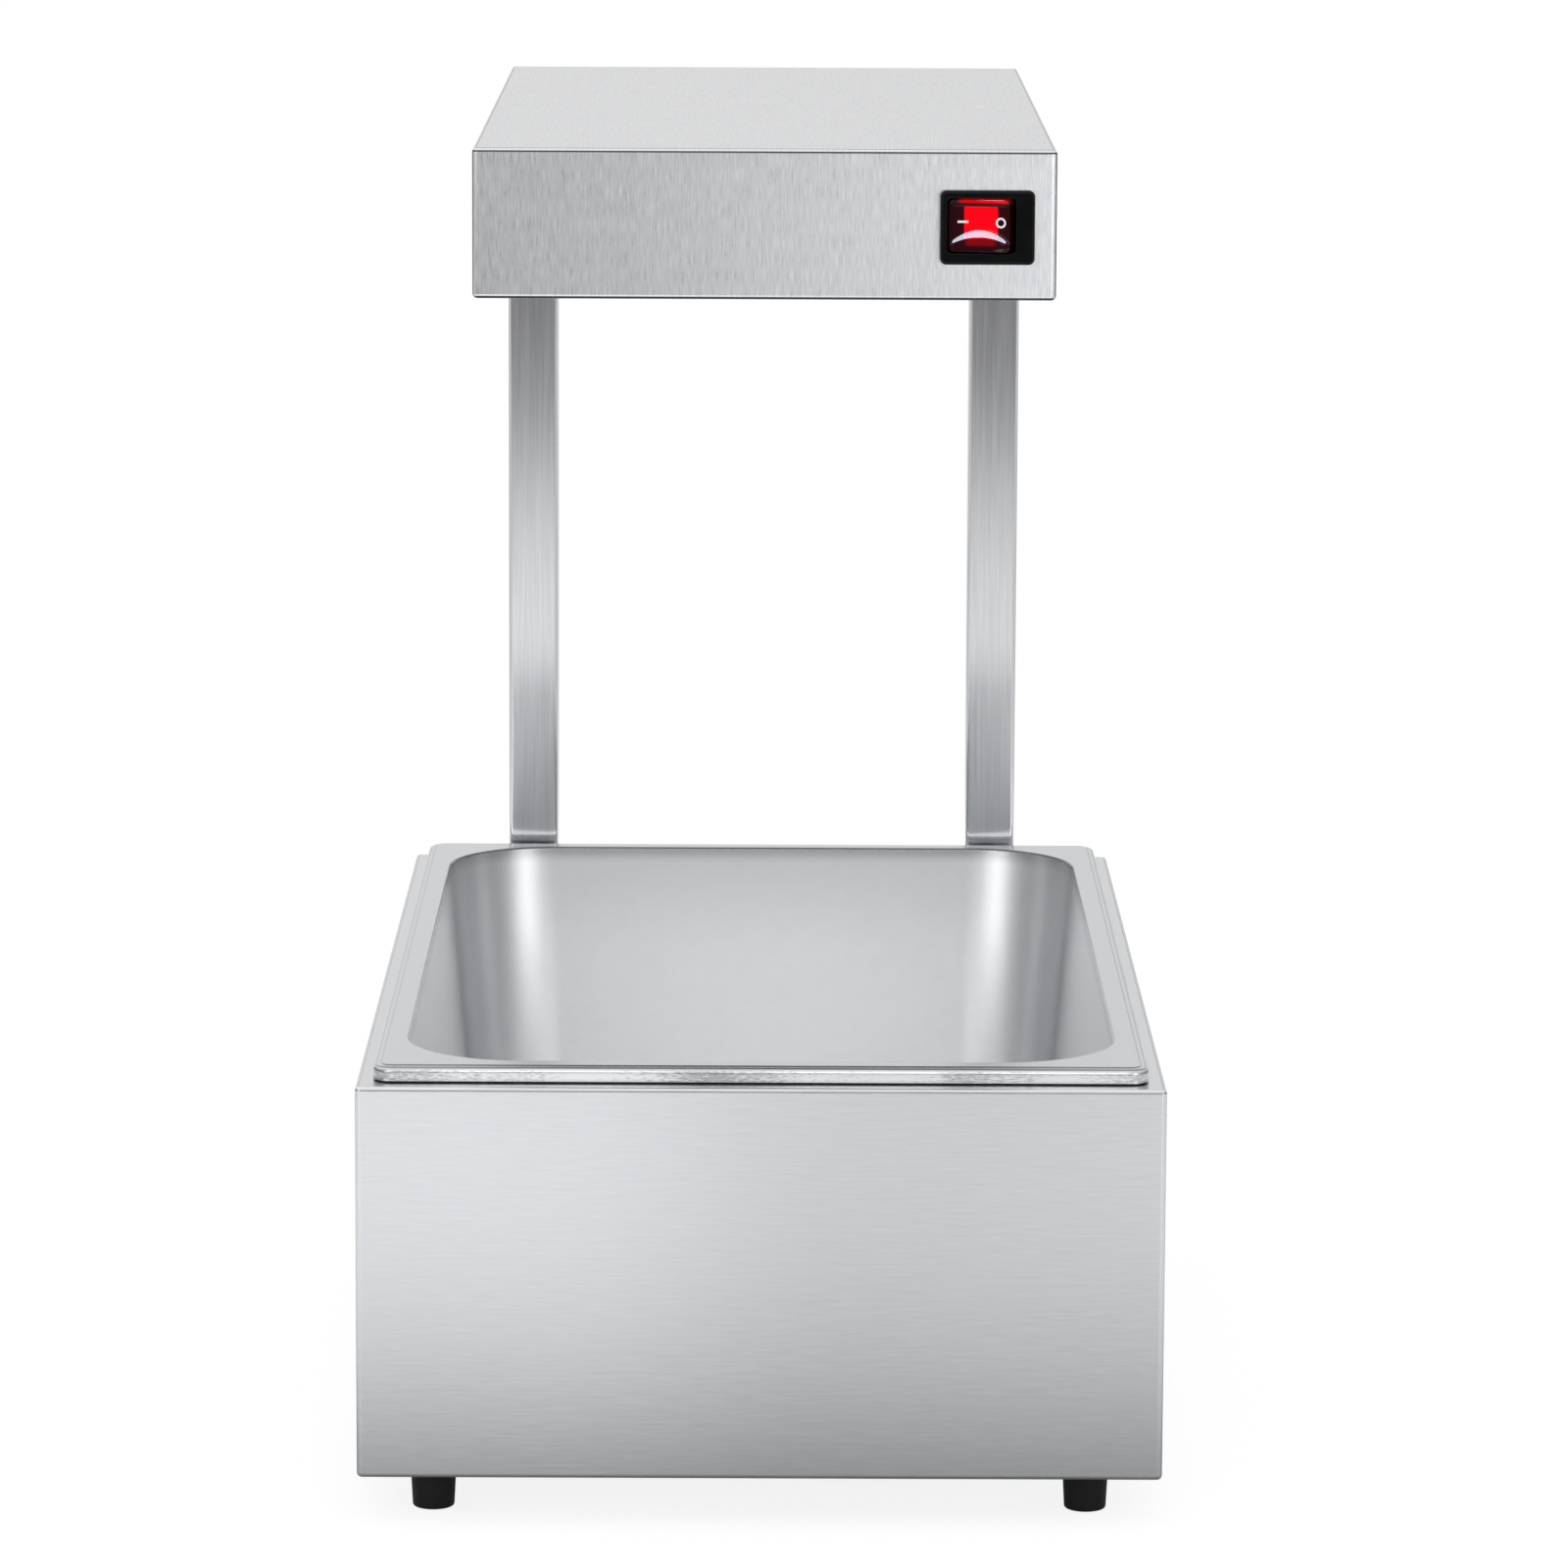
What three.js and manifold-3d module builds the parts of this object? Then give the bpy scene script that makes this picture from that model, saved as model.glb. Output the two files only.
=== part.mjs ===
// Food warmer with a drop-in gastronorm pan under an infrared head that stands on two posts.
// Millimetres, +Z up, +X to the right, +Y away from the server. The origin lies on the floor,
// at the middle of the overall width and depth.

import * as THREE from 'three';
import { mergeVertices } from 'three/addons/utils/BufferGeometryUtils.js';
import Module from 'manifold-3d';

const wasm = await Module();
wasm.setup();

// Driving sizes of the pan, a full-size gastronorm pan
const pan_width = 325;
const pan_length = 530;
const pan_depth = 150;
const pan_sheet = 0.8;
const pan_stand = 7.4;
const pan_rim_height = 5.4;
const pan_flange_width = 12.5;
const pan_rim_bend = 2.4;
const pan_mouth_bend = 2;
const pan_rim_corner = 8;
const pan_mouth_corner = 50;
const pan_floor_corner = 42;
const pan_floor_fillet = 20;
const pan_draft = THREE.MathUtils.degToRad(5);

// The base is sized round the pan: its margins past the pan's rim and the room below its floor
const base_side_margin = 7;
const base_end_margin = 8;
const pan_floor_clear = 25.4;
const foot_height = 20;
const foot_inset = 31;
const base_width = pan_width + 2 * base_side_margin;
const base_depth = pan_length + 2 * base_end_margin;
const base_height = pan_floor_clear + pan_depth - pan_stand;

// Driving sizes of the head
const head_width = 244;
const head_depth = 484;
const head_height = 63;
const head_above_base = 323.5;

// Posts, square tube behind both casings, that show past the head's sides
const post_size = 24;
const post_wall = 1.2;
const post_corner = 2;
const post_overhang = 2;
const post_foot_clear = 22;
const post_top_drop = 9;
const plug_cap = 2;
const plug_length = 4.5;

// Sheet metal
const sheet = 1;
const edge_bend = 2;
const corner_bend = 2.4;
const base_return = 15;
const head_return = 12;

// Clearances, how deep a weld sinks in, and how far a cut runs past its wall
const seat_gap = 0.3;
const hole_gap = 0.4;
const plate_gap = 0.5;
const weld = 0.2;
const overrun = 2;

// Facets
const bend_steps = 2;
const corner_steps = 6;
const round_steps = 20;
const middle_round_steps = 12;
const small_round_steps = 8;
const arc_steps = 3;
const wire_sides = 6;
const hexagon_sides = 6;
const wire_bend_share = 0.4;

// Fasteners: shank radius, head radius and height, nut radius and height
const foot_bolt = { shank: 2, head: 4.2, head_height: 2.4, nut: 4, nut_height: 3.2, tail: 1 };
const post_bolt = { shank: 2.5, head: 4.75, head_height: 2.75, nut: 4.6, nut_height: 4, tail: 1 };
const sheet_screw = { shank: 1.6, head: 3.2, head_height: 1.8, tail: 3 };

// Levels and planes that the pieces share
const base_bottom = foot_height;
const base_top = base_bottom + base_height;
const pan_top = base_top + pan_stand;
const head_bottom = base_top + head_above_base;
const head_top = head_bottom + head_height;
const back_plane = base_depth;
const head_front = base_depth - head_depth;
const head_middle = head_front + head_depth / 2;
const pan_middle = base_depth / 2;
const post_x = head_width / 2 + post_overhang - post_size / 2;
const post_front = back_plane + seat_gap;
const post_back = post_front + post_size;
const overall_depth = post_back + seat_gap + post_bolt.head_height;

// Finishes of the real pieces
const finish = (color, roughness, metalness, more = {}) =>
  new THREE.MeshStandardMaterial({ color, roughness, metalness, ...more });
const steel = finish(0xc9cbcd, 0.35, 1);
const pan_steel = finish(0xd4d6d8, 0.28, 1);
const mirror_steel = finish(0xe2e3e4, 0.08, 1);
const zinc = finish(0xb9bcc0, 0.3, 1);
const rubber = finish(0x161617, 0.75, 0);
const black_plastic = finish(0x131415, 0.3, 0);
const nylon = finish(0xdcdad2, 0.5, 0);
const red_lens = finish(0xc00008, 0.1, 0, { transparent: true, opacity: 0.8 });
const quartz = finish(0xe9ece9, 0.25, 0, { transparent: true, opacity: 0.6 });
const ceramic = finish(0xe8e2d4, 0.6, 0);
const cable_sheath = finish(0x202022, 0.6, 0);
const silicone = finish(0xd9d4c8, 0.6, 0);

// Turns a closed geometry into a solid that can be cut and joined
function solid(geometry) {
  const bare = geometry.clone();
  bare.deleteAttribute('normal');
  bare.deleteAttribute('uv');
  const merged = mergeVertices(bare);
  const vertProperties = new Float32Array(merged.attributes.position.array);
  const triVerts = new Uint32Array(merged.index.array);
  return new wasm.Manifold(new wasm.Mesh({ numProp: 3, vertProperties, triVerts }));
}

// Turns a solid back into a geometry
function geometryOf(body) {
  const mesh = body.getMesh();
  const geometry = new THREE.BufferGeometry();
  geometry.setAttribute('position', new THREE.BufferAttribute(new Float32Array(mesh.vertProperties), 3));
  geometry.setIndex(new THREE.BufferAttribute(new Uint32Array(mesh.triVerts), 1));
  geometry.computeVertexNormals();
  return geometry;
}

// Points round a rectangle with round corners, anticlockwise seen from above
function ring(half_width, half_depth, radius, z, steps) {
  const points = [];
  const corners = [[1, 1], [-1, 1], [-1, -1], [1, -1]];
  corners.forEach(([side_x, side_y], quarter) => {
    for (let step = 0; step <= steps; step++) {
      const angle = (quarter + step / steps) * Math.PI / 2;
      points.push(new THREE.Vector3(
        side_x * (half_width - radius) + radius * Math.cos(angle),
        side_y * (half_depth - radius) + radius * Math.sin(angle),
        z,
      ));
    }
  });
  return points;
}

// Skins a loop of rings that comes back to its first ring
function hoop(rings) {
  const count = rings[0].length;
  const index = [];
  rings.forEach((_, level) => {
    const next_level = (level + 1) % rings.length;
    for (let i = 0; i < count; i++) {
      const next = (i + 1) % count;
      const a = level * count + i;
      const b = level * count + next;
      const c = next_level * count + next;
      const d = next_level * count + i;
      index.push(a, b, c, a, c, d);
    }
  });
  const geometry = new THREE.BufferGeometry();
  geometry.setAttribute('position',
    new THREE.Float32BufferAttribute(rings.flat().flatMap((point) => point.toArray()), 3));
  geometry.setIndex(index);
  geometry.computeVertexNormals();
  return geometry;
}

// Skins a stack of rings and closes its first and last ring
function loft(rings) {
  const count = rings[0].length;
  const positions = rings.flat().flatMap((point) => point.toArray());
  const index = [];
  for (let level = 0; level < rings.length - 1; level++) {
    for (let i = 0; i < count; i++) {
      const a = level * count + i;
      const b = level * count + (i + 1) % count;
      index.push(a, b, b + count, a, b + count, a + count);
    }
  }
  const last = (rings.length - 1) * count;
  const first_middle = positions.length / 3;
  for (const end of [rings[0], rings[rings.length - 1]]) {
    const middle = end.reduce((sum, point) => sum.add(point), new THREE.Vector3()).divideScalar(count);
    positions.push(...middle.toArray());
  }
  for (let i = 0; i < count; i++) {
    const next = (i + 1) % count;
    index.push(next, i, first_middle);
    index.push(last + i, last + next, first_middle + 1);
  }
  const geometry = new THREE.BufferGeometry();
  geometry.setAttribute('position', new THREE.Float32BufferAttribute(positions, 3));
  geometry.setIndex(index);
  geometry.computeVertexNormals();
  return geometry;
}

// A box with round upright corners and square ends
function prism(width, depth, radius, z_low, z_high, steps) {
  return loft([z_low, z_high].map((z) => ring(width / 2, depth / 2, radius, z, steps)));
}

// A box with every edge rounded: corner is the upright edges' radius, edge that of both ends
function pillow(width, depth, corner, edge, z_low, z_high) {
  const rings = [];
  for (let step = 0; step <= bend_steps; step++) {
    const angle = (step / bend_steps) * Math.PI / 2;
    const inset = edge * (1 - Math.sin(angle));
    const z = z_low + edge * (1 - Math.cos(angle));
    rings.push(ring(width / 2 - inset, depth / 2 - inset, corner - inset, z, bend_steps));
  }
  for (let step = bend_steps; step >= 0; step--) {
    const angle = (step / bend_steps) * Math.PI / 2;
    const inset = edge * (1 - Math.sin(angle));
    const z = z_high - edge * (1 - Math.cos(angle));
    rings.push(ring(width / 2 - inset, depth / 2 - inset, corner - inset, z, bend_steps));
  }
  return loft(rings);
}

// A round bar along an axis, from one end to the other, used for bores and barrels
function bar(axis, radius, start, length, steps = small_round_steps) {
  const geometry = new THREE.CylinderGeometry(radius, radius, length, steps);
  if (axis === 'z') geometry.rotateX(Math.PI / 2);
  if (axis === 'x') geometry.rotateZ(Math.PI / 2);
  const offset = new THREE.Vector3(0, 0, 0);
  offset[axis] = length / 2;
  return geometry.translate(start.x + offset.x, start.y + offset.y, start.z + offset.z);
}

// A plain block given by two opposite corners
function block(low, high) {
  const size = high.clone().sub(low);
  const middle = low.clone().add(high).multiplyScalar(1 / 2);
  return new THREE.BoxGeometry(size.x, size.y, size.z).translate(middle.x, middle.y, middle.z);
}

// A slot with round ends along X, drawn on the origin's plane and run up Z
function slot(length, width, thickness) {
  const radius = width / 2;
  const reach = length / 2 - radius;
  const shape = new THREE.Shape();
  shape.absarc(reach, 0, radius, -Math.PI / 2, Math.PI / 2, false);
  shape.absarc(-reach, 0, radius, Math.PI / 2, 3 * Math.PI / 2, false);
  return new THREE.ExtrudeGeometry(shape, {
    depth: thickness, bevelEnabled: false, curveSegments: arc_steps - 1,
  });
}

// A turned piece about Z from a closed outline of [radius, height] pairs
function turned(outline, steps = round_steps) {
  const points = outline.map(([radius, height]) => new THREE.Vector2(radius, height));
  const geometry = new THREE.LatheGeometry(points, steps);
  return geometry.rotateX(Math.PI / 2);
}

const cut = (body, geometries) => geometries.reduce((rest, tool) => rest.subtract(solid(tool)), body);
const fuse = (body, geometries) => geometries.reduce((rest, more) => rest.add(solid(more)), body);
const joined = (geometries) => fuse(solid(geometries[0]), geometries.slice(1));
const at = (x, y, z) => new THREE.Vector3(x, y, z);

// Turns that lay a piece drawn along +Z onto +Y, away from the server, or onto -Y
const point_back = new THREE.Matrix4().makeRotationX(-Math.PI / 2);
const point_front = new THREE.Matrix4().makeRotationX(Math.PI / 2);

// A pan-head screw: its head's seat is at the origin and its shank runs up +Z
function screw(size, length) {
  const crown = size.head_height / 2;
  return turned([
    [0, -size.head_height],
    [size.head - crown, -size.head_height],
    [size.head, -crown],
    [size.head, 0],
    [size.shank, 0],
    [size.shank, length],
    [0, length],
  ], small_round_steps);
}

// A hexagon nut that sits on the origin's plane
function nut(size) {
  const shape = new THREE.Shape();
  for (let corner = 0; corner < hexagon_sides; corner++) {
    const angle = corner / hexagon_sides * Math.PI * 2;
    const x = size.nut * Math.cos(angle);
    const y = size.nut * Math.sin(angle);
    if (corner === 0) shape.moveTo(x, y);
    else shape.lineTo(x, y);
  }
  const bore = new THREE.Path();
  const bore_radius = (size.shank + seat_gap) / Math.cos(Math.PI / small_round_steps);
  bore.absarc(0, 0, bore_radius, 0, Math.PI * 2, true);
  shape.holes.push(bore);
  return new THREE.ExtrudeGeometry(shape, {
    depth: size.nut_height, bevelEnabled: false, curveSegments: small_round_steps / 2,
  });
}

// Copies of a geometry, one at each place
function repeated(geometry, places) {
  return places.map((place) => geometry.clone().translate(place.x, place.y, place.z));
}

// A round wire that runs straight between points and bends round at each one on its way
function wire(points, radius, bend) {
  const stations = [points[0]];
  for (let i = 1; i < points.length - 1; i++) {
    const [before, corner, after] = points.slice(i - 1, i + 2);
    const room = wire_bend_share * Math.min(before.distanceTo(corner), corner.distanceTo(after));
    const trim = Math.min(bend, room);
    const entry = corner.clone().add(before.clone().sub(corner).setLength(trim));
    const exit = corner.clone().add(after.clone().sub(corner).setLength(trim));
    stations.push(...new THREE.QuadraticBezierCurve3(entry, corner, exit).getPoints(arc_steps));
  }
  stations.push(points[points.length - 1]);
  let side = null;
  const rings = stations.map((station, i) => {
    const before = stations[Math.max(i - 1, 0)];
    const after = stations[Math.min(i + 1, stations.length - 1)];
    const leaving = after.clone().sub(station).normalize();
    const ahead = station.clone().sub(before).normalize().add(leaving).normalize();
    const lean = side || (Math.abs(ahead.z) < Math.SQRT1_2 ? at(0, 0, 1) : at(1, 0, 0));
    side = lean.clone().addScaledVector(ahead, -lean.dot(ahead)).normalize();
    const up = ahead.clone().cross(side);
    return Array.from({ length: wire_sides }, (_, k) => {
      const angle = k / wire_sides * Math.PI * 2;
      return station.clone()
        .addScaledVector(side, radius * Math.cos(angle))
        .addScaledVector(up, radius * Math.sin(angle));
    });
  });
  return loft(rings);
}

// The folded casing that both the base and the head are made as: top and four walls in one
// skin, open below inside a narrow return that is turned in all round
function folded_casing(width, depth, height, turned_in) {
  const outside = solid(pillow(width, depth, corner_bend, edge_bend, 0, height));
  const inside = pillow(
    width - 2 * sheet, depth - 2 * sheet, corner_bend - sheet, edge_bend - sheet, sheet, height - sheet,
  );
  const mouth = prism(
    width - 2 * turned_in, depth - 2 * turned_in, corner_bend, -overrun, sheet + overrun, bend_steps,
  );
  return cut(outside, [inside, mouth]);
}

// Well in the base's top, with an upstand that the pan's flange rests on
const well_gap = 4;
const well_width = pan_width - 2 * (pan_flange_width - well_gap);
const well_length = pan_length - 2 * (pan_flange_width - well_gap);
const well_corner = pan_mouth_corner + well_gap;
const upstand_top = pan_top - pan_sheet - seat_gap;

// Bolts that hold the posts: heights above each casing's bottom and drops below its top, and how
// far they sit outwards of the post's middle to leave a lane for the cable
const base_bolt_low = 50;
const base_bolt_drop = 28;
const base_bolt_high = base_height - base_bolt_drop;
const head_bolt_low = 12;
const head_bolt_drop = 17;
const head_bolt_high = head_height - head_bolt_drop;
const post_bolt_shift = 3;
const post_bolt_hole = post_bolt.shank + hole_gap;

// Wire passage from the base through the right post to the head
const cable_radius = 3;
const cable_shift = post_bolt_shift - post_bolt.shank - plate_gap - cable_radius;
const passage_x = post_x + cable_shift;
const base_passage_height = (base_bolt_low + base_bolt_high) / 2;
const head_passage_height = (head_bolt_low + head_bolt_high) / 2;
const bush_barrel = 5.6;
const bush_flange = 7.6;
const bush_flange_height = 2;
const bush_hole = bush_barrel + seat_gap;

// Cable gland in the base's back wall
const gland_height = 40;
const gland_x = -60;
const gland_barrel = 7.7;
const gland_bore = 3.6;
const gland_hole = gland_barrel + seat_gap;

// Switch in the head's front wall, a little below its middle; the rocker sits off the middle of
// its bezel
const switch_inset = 29;
const switch_drop = 0.8;
const switch_x = head_width / 2 - switch_inset;
const switch_height = head_height / 2 - switch_drop;
const bezel_width = 39.5;
const bezel_height = 31;
const bezel_depth = 3;
const bezel_corner = 3.4;
const bezel_edge = 1.4;
const rocker_shift_x = -2.6;
const rocker_shift_z = 0.8;
const rocker_width = 27.6;
const rocker_height = 22;
const rocker_travel = THREE.MathUtils.degToRad(20);
const rocker_pivot_depth = 5;
const rocker_window_gap = 0.5;
const switch_wall = 1.6;
const switch_body_depth = 24;
const switch_body_width = rocker_width + 2 * (rocker_window_gap + switch_wall);
const switch_body_height = rocker_height + 2 * (rocker_window_gap + switch_wall);

// Vent slots, one size throughout
const vent_length = 60;
const vent_width = 5;
const vent_pitch = 12;

function base_casing() {
  const shell = folded_casing(base_width, base_depth, base_height, base_return);
  const upstand = prism(
    well_width + 2 * sheet, well_length + 2 * sheet, well_corner + sheet,
    base_height - sheet, upstand_top - base_bottom, corner_steps,
  );
  const well = prism(
    well_width, well_length, well_corner,
    base_height - sheet - overrun, base_height + pan_stand, corner_steps,
  );
  const back = base_depth / 2 - sheet - overrun;
  const through = sheet + 2 * overrun;
  const drills = [
    bar('y', bush_hole, at(passage_x, back, base_passage_height), through, middle_round_steps),
    bar('y', gland_hole, at(gland_x, back, gland_height), through, middle_round_steps),
  ];
  for (const side of [-1, 1]) {
    for (const height of [base_bolt_low, base_bolt_high]) {
      drills.push(bar('y', post_bolt_hole, at(side * (post_x + post_bolt_shift), back, height), through));
    }
  }
  for (const place of base_screw_places()) {
    drills.push(bar('z', sheet_screw.shank + hole_gap, at(place.x, place.y, -overrun), through));
  }
  return cut(shell.add(solid(upstand)), [well, ...drills]);
}

// Screws through the returns into the bottom plates, in each casing's own frame
function base_screw_places() {
  const x = base_width / 2 - base_return / 2;
  const spacing = base_depth / 3;
  return [-1, 1].flatMap((side) => [-1, 0, 1].map((row) => at(side * x, row * spacing, -seat_gap)));
}

function head_screw_places() {
  const x = head_width / 2 - head_return / 2;
  const spacing = head_depth / 3;
  return [-1, 1].flatMap((side) => [-1, 0, 1].map((row) => at(side * x, row * spacing, -seat_gap)));
}

const foot_places = [
  ['front_left', -1, -1],
  ['front_right', 1, -1],
  ['rear_left', -1, 1],
  ['rear_right', 1, 1],
].map(([corner, side_x, side_y]) => ({
  corner,
  x: side_x * (base_width / 2 - foot_inset),
  y: side_y * (base_depth / 2 - foot_inset),
}));

// A plate that lies inside a casing on its returns, with its outline and vents
const plate_low = sheet + seat_gap;
const plate_high = plate_low + sheet;

function inner_plate(width, depth) {
  const gap = 2 * (sheet + plate_gap);
  return solid(prism(width - gap, depth - gap, corner_bend, plate_low, plate_high, bend_steps));
}

function vents(rows, columns, centre, upright) {
  const cuts = [];
  for (let row = 0; row < rows; row++) {
    for (let column = 0; column < columns; column++) {
      const along = (column - (columns - 1) / 2) * (vent_length + vent_pitch);
      const across = (row - (rows - 1) / 2) * vent_pitch;
      const tool = slot(vent_length, vent_width, sheet + 2 * overrun).translate(along, across, -overrun);
      if (upright) tool.rotateX(Math.PI / 2);
      cuts.push(tool.translate(centre.x, centre.y, centre.z));
    }
  }
  return cuts;
}

// The base's plate carries its six screws and a welded nut over each foot
function base_bottom_plate() {
  const vent_rows = 4;
  const vent_columns = 2;
  const nuts = foot_places.map((place) => nut(foot_bolt).translate(place.x, place.y, plate_high - weld));
  const drills = foot_places.map((place) =>
    bar('z', foot_bolt.shank + seat_gap, at(place.x, place.y, plate_low - overrun), sheet + 2 * overrun));
  drills.push(...vents(vent_rows, vent_columns, at(0, 0, plate_low), false));
  const screws = repeated(screw(sheet_screw, plate_high + seat_gap + sheet_screw.tail), base_screw_places());
  return fuse(cut(inner_plate(base_width, base_depth), drills), [...nuts, ...screws]);
}

// Rubber foot: tapers to the floor, with a counterbore for its bolt
const foot_top_radius = 9.9;
const foot_bottom_radius = 8.9;
const foot_edge = 1.2;
const foot_counterbore_depth = 6;
const foot_top = foot_height + sheet;

function foot() {
  const bore = foot_bolt.shank + hole_gap;
  const counterbore = foot_bolt.head + 2 * hole_gap;
  return turned([
    [counterbore, 0],
    [foot_bottom_radius - foot_edge, 0],
    [foot_bottom_radius, foot_edge],
    [foot_top_radius, foot_top],
    [bore, foot_top],
    [bore, foot_counterbore_depth],
    [counterbore, foot_counterbore_depth],
    [counterbore, 0],
  ], middle_round_steps);
}

// Drawn pan: its upper surface is traced from the rim's lower edge over the flange and down to
// the floor, and the same trace set back by the sheet gives its under surface
function gastronorm_pan() {
  const trace = [];
  const mark = (inset, z, angle, radius) => trace.push({ inset, z, angle, radius });
  const rim_start = pan_depth - pan_rim_height;
  mark(0, rim_start, Math.PI, pan_rim_corner);
  for (let step = 0; step <= arc_steps; step++) {
    const angle = Math.PI - (step / arc_steps) * Math.PI / 2;
    const inset = pan_rim_bend * (1 + Math.cos(angle));
    const z = pan_depth - pan_rim_bend * (1 - Math.sin(angle));
    mark(inset, z, angle, pan_rim_corner - inset);
  }
  for (let step = 0; step <= arc_steps; step++) {
    const angle = Math.PI / 2 - (step / arc_steps) * (Math.PI / 2 - pan_draft);
    const inset = pan_flange_width - pan_mouth_bend * (1 - Math.cos(angle));
    const z = pan_depth - pan_mouth_bend * (1 - Math.sin(angle));
    mark(inset, z, angle, pan_mouth_corner + pan_flange_width - inset);
  }
  const wall_start = trace[trace.length - 1];
  const floor_level = pan_sheet;
  const wall_end_z = floor_level + pan_floor_fillet * (1 - Math.sin(pan_draft));
  const wall_end_inset = wall_start.inset + (wall_start.z - wall_end_z) * Math.tan(pan_draft);
  const fillet_inset = wall_end_inset + pan_floor_fillet * Math.cos(pan_draft);
  const fillet_steps = arc_steps + 1;
  for (let step = 0; step <= fillet_steps; step++) {
    const angle = pan_draft + (step / fillet_steps) * (Math.PI / 2 - pan_draft);
    const inset = fillet_inset - pan_floor_fillet * Math.cos(angle);
    const z = floor_level + pan_floor_fillet * (1 - Math.sin(angle));
    mark(inset, z, angle, pan_floor_corner - (inset - wall_end_inset));
  }
  const surface = (offset) => trace.map(({ inset, z, angle, radius }) => {
    const back = inset - offset * Math.cos(angle);
    return ring(
      pan_width / 2 - back, pan_length / 2 - back, radius + offset * Math.cos(angle),
      z - offset * Math.sin(angle), corner_steps,
    );
  });
  return loft([...surface(pan_sheet).reverse(), ...surface(0)]);
}

// Square tube post; the one that carries the cable has a wire hole at each casing
const post_low = base_bottom + post_foot_clear;
const post_high = head_top - post_top_drop;

function post(side, with_cable) {
  const outline = solid(prism(post_size, post_size, post_corner, post_low, post_high, bend_steps));
  const inner = post_size - 2 * post_wall;
  const bore = prism(
    inner, inner, post_corner - post_wall, post_low - overrun, post_high + overrun, bend_steps,
  );
  const face = -post_size / 2 - overrun;
  const drills = [];
  for (const level of post_bolt_levels()) {
    drills.push(bar('y', post_bolt_hole, at(side * post_bolt_shift, face, level), post_size + 2 * overrun));
  }
  const wire_levels = [base_bottom + base_passage_height, head_bottom + head_passage_height];
  for (const level of with_cable ? wire_levels : []) {
    drills.push(
      bar('y', bush_hole, at(cable_shift, face, level), post_wall + 2 * overrun, middle_round_steps),
    );
  }
  return cut(outline, [bore, ...drills]);
}

function post_bolt_levels() {
  return [
    base_bottom + base_bolt_low,
    base_bottom + base_bolt_high,
    head_bottom + head_bolt_low,
    head_bottom + head_bolt_high,
  ];
}

// Plug that closes a post's end, with its cap outside the tube; drawn for the lower end
function post_plug() {
  const inner = post_size - 2 * (post_wall + seat_gap);
  const cap = prism(post_size, post_size, post_corner, -plug_cap - seat_gap, -seat_gap, bend_steps);
  const stem = prism(inner, inner, post_corner / 2, -plug_cap - seat_gap, plug_length, bend_steps);
  return geometryOf(joined([cap, stem]));
}

// Anchor plate with two welded nuts, which spreads the bolts' load inside a casing's back wall
const anchor_width = 21;
const anchor_shift = -2.5;
const anchor_thickness = 3;
const anchor_margin = 8;

function anchor_plate(low, high, side, with_cable) {
  const through = anchor_thickness + 2 * overrun;
  const bolt_x = side * post_bolt_shift;
  const middle = side * anchor_shift;
  const drills = [low, high].map((height) => bar('y', post_bolt_hole, at(bolt_x, -overrun, height), through));
  if (with_cable) {
    drills.push(bar('y', bush_flange + 2 * hole_gap, at(cable_shift, -overrun, (low + high) / 2), through,
      middle_round_steps));
  }
  const plate = block(
    at(middle - anchor_width / 2, 0, low - anchor_margin),
    at(middle + anchor_width / 2, anchor_thickness, high + anchor_margin),
  );
  const nuts = [low, high].map((height) =>
    nut(post_bolt).applyMatrix4(point_front).translate(bolt_x, weld, height));
  return geometryOf(fuse(cut(solid(plate), drills), nuts));
}

// Bush that lines the wire's way through a casing's back wall and the post's front wall
function wire_bush() {
  const reach = sheet + seat_gap + post_wall + seat_gap;
  return turned([
    [cable_radius + seat_gap, -bush_flange_height],
    [bush_flange, -bush_flange_height],
    [bush_flange, 0],
    [bush_barrel, 0],
    [bush_barrel, reach],
    [cable_radius + seat_gap, reach],
    [cable_radius + seat_gap, -bush_flange_height],
  ], middle_round_steps);
}

// Cable gland: body with hexagon, clamping dome, seal inside the dome and lock nut within
const gland_hex = 11;
const gland_hex_height = 5;
const gland_inner_length = 9;
const gland_collar = 6.6;
const gland_collar_length = 9;
const gland_dome = 9.6;
const gland_dome_length = 15;
const gland_dome_mouth = 6.2;
const gland_seal_wall = 1.8;
const gland_seal_length = 7;
const gland_nut = { shank: gland_barrel, nut: 11.4, nut_height: 4 };

function gland_body() {
  const middle = gland_hex_height / 2;
  const collar_end = gland_hex_height + gland_collar_length;
  const round = (radius, low, high, steps = middle_round_steps) =>
    bar('z', radius, at(0, 0, low), high - low, steps);
  const outside = joined([
    round(gland_barrel, -gland_inner_length, middle),
    round(gland_hex, seat_gap, gland_hex_height, hexagon_sides),
    round(gland_collar, middle, collar_end),
  ]);
  const seal_seat = gland_bore + gland_seal_wall + seat_gap;
  const seal_floor = collar_end - gland_seal_length - seat_gap;
  return geometryOf(cut(outside, [
    round(gland_bore, -gland_inner_length - overrun, collar_end + overrun),
    round(seal_seat, seal_floor, collar_end + overrun),
  ]));
}

function gland_seal() {
  const low = gland_hex_height + gland_collar_length - gland_seal_length;
  const outer = gland_bore + gland_seal_wall;
  const high = low + gland_seal_length;
  const outline = [[gland_bore, low], [outer, low], [outer, high], [gland_bore, high], [gland_bore, low]];
  return turned(outline, middle_round_steps);
}

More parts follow.
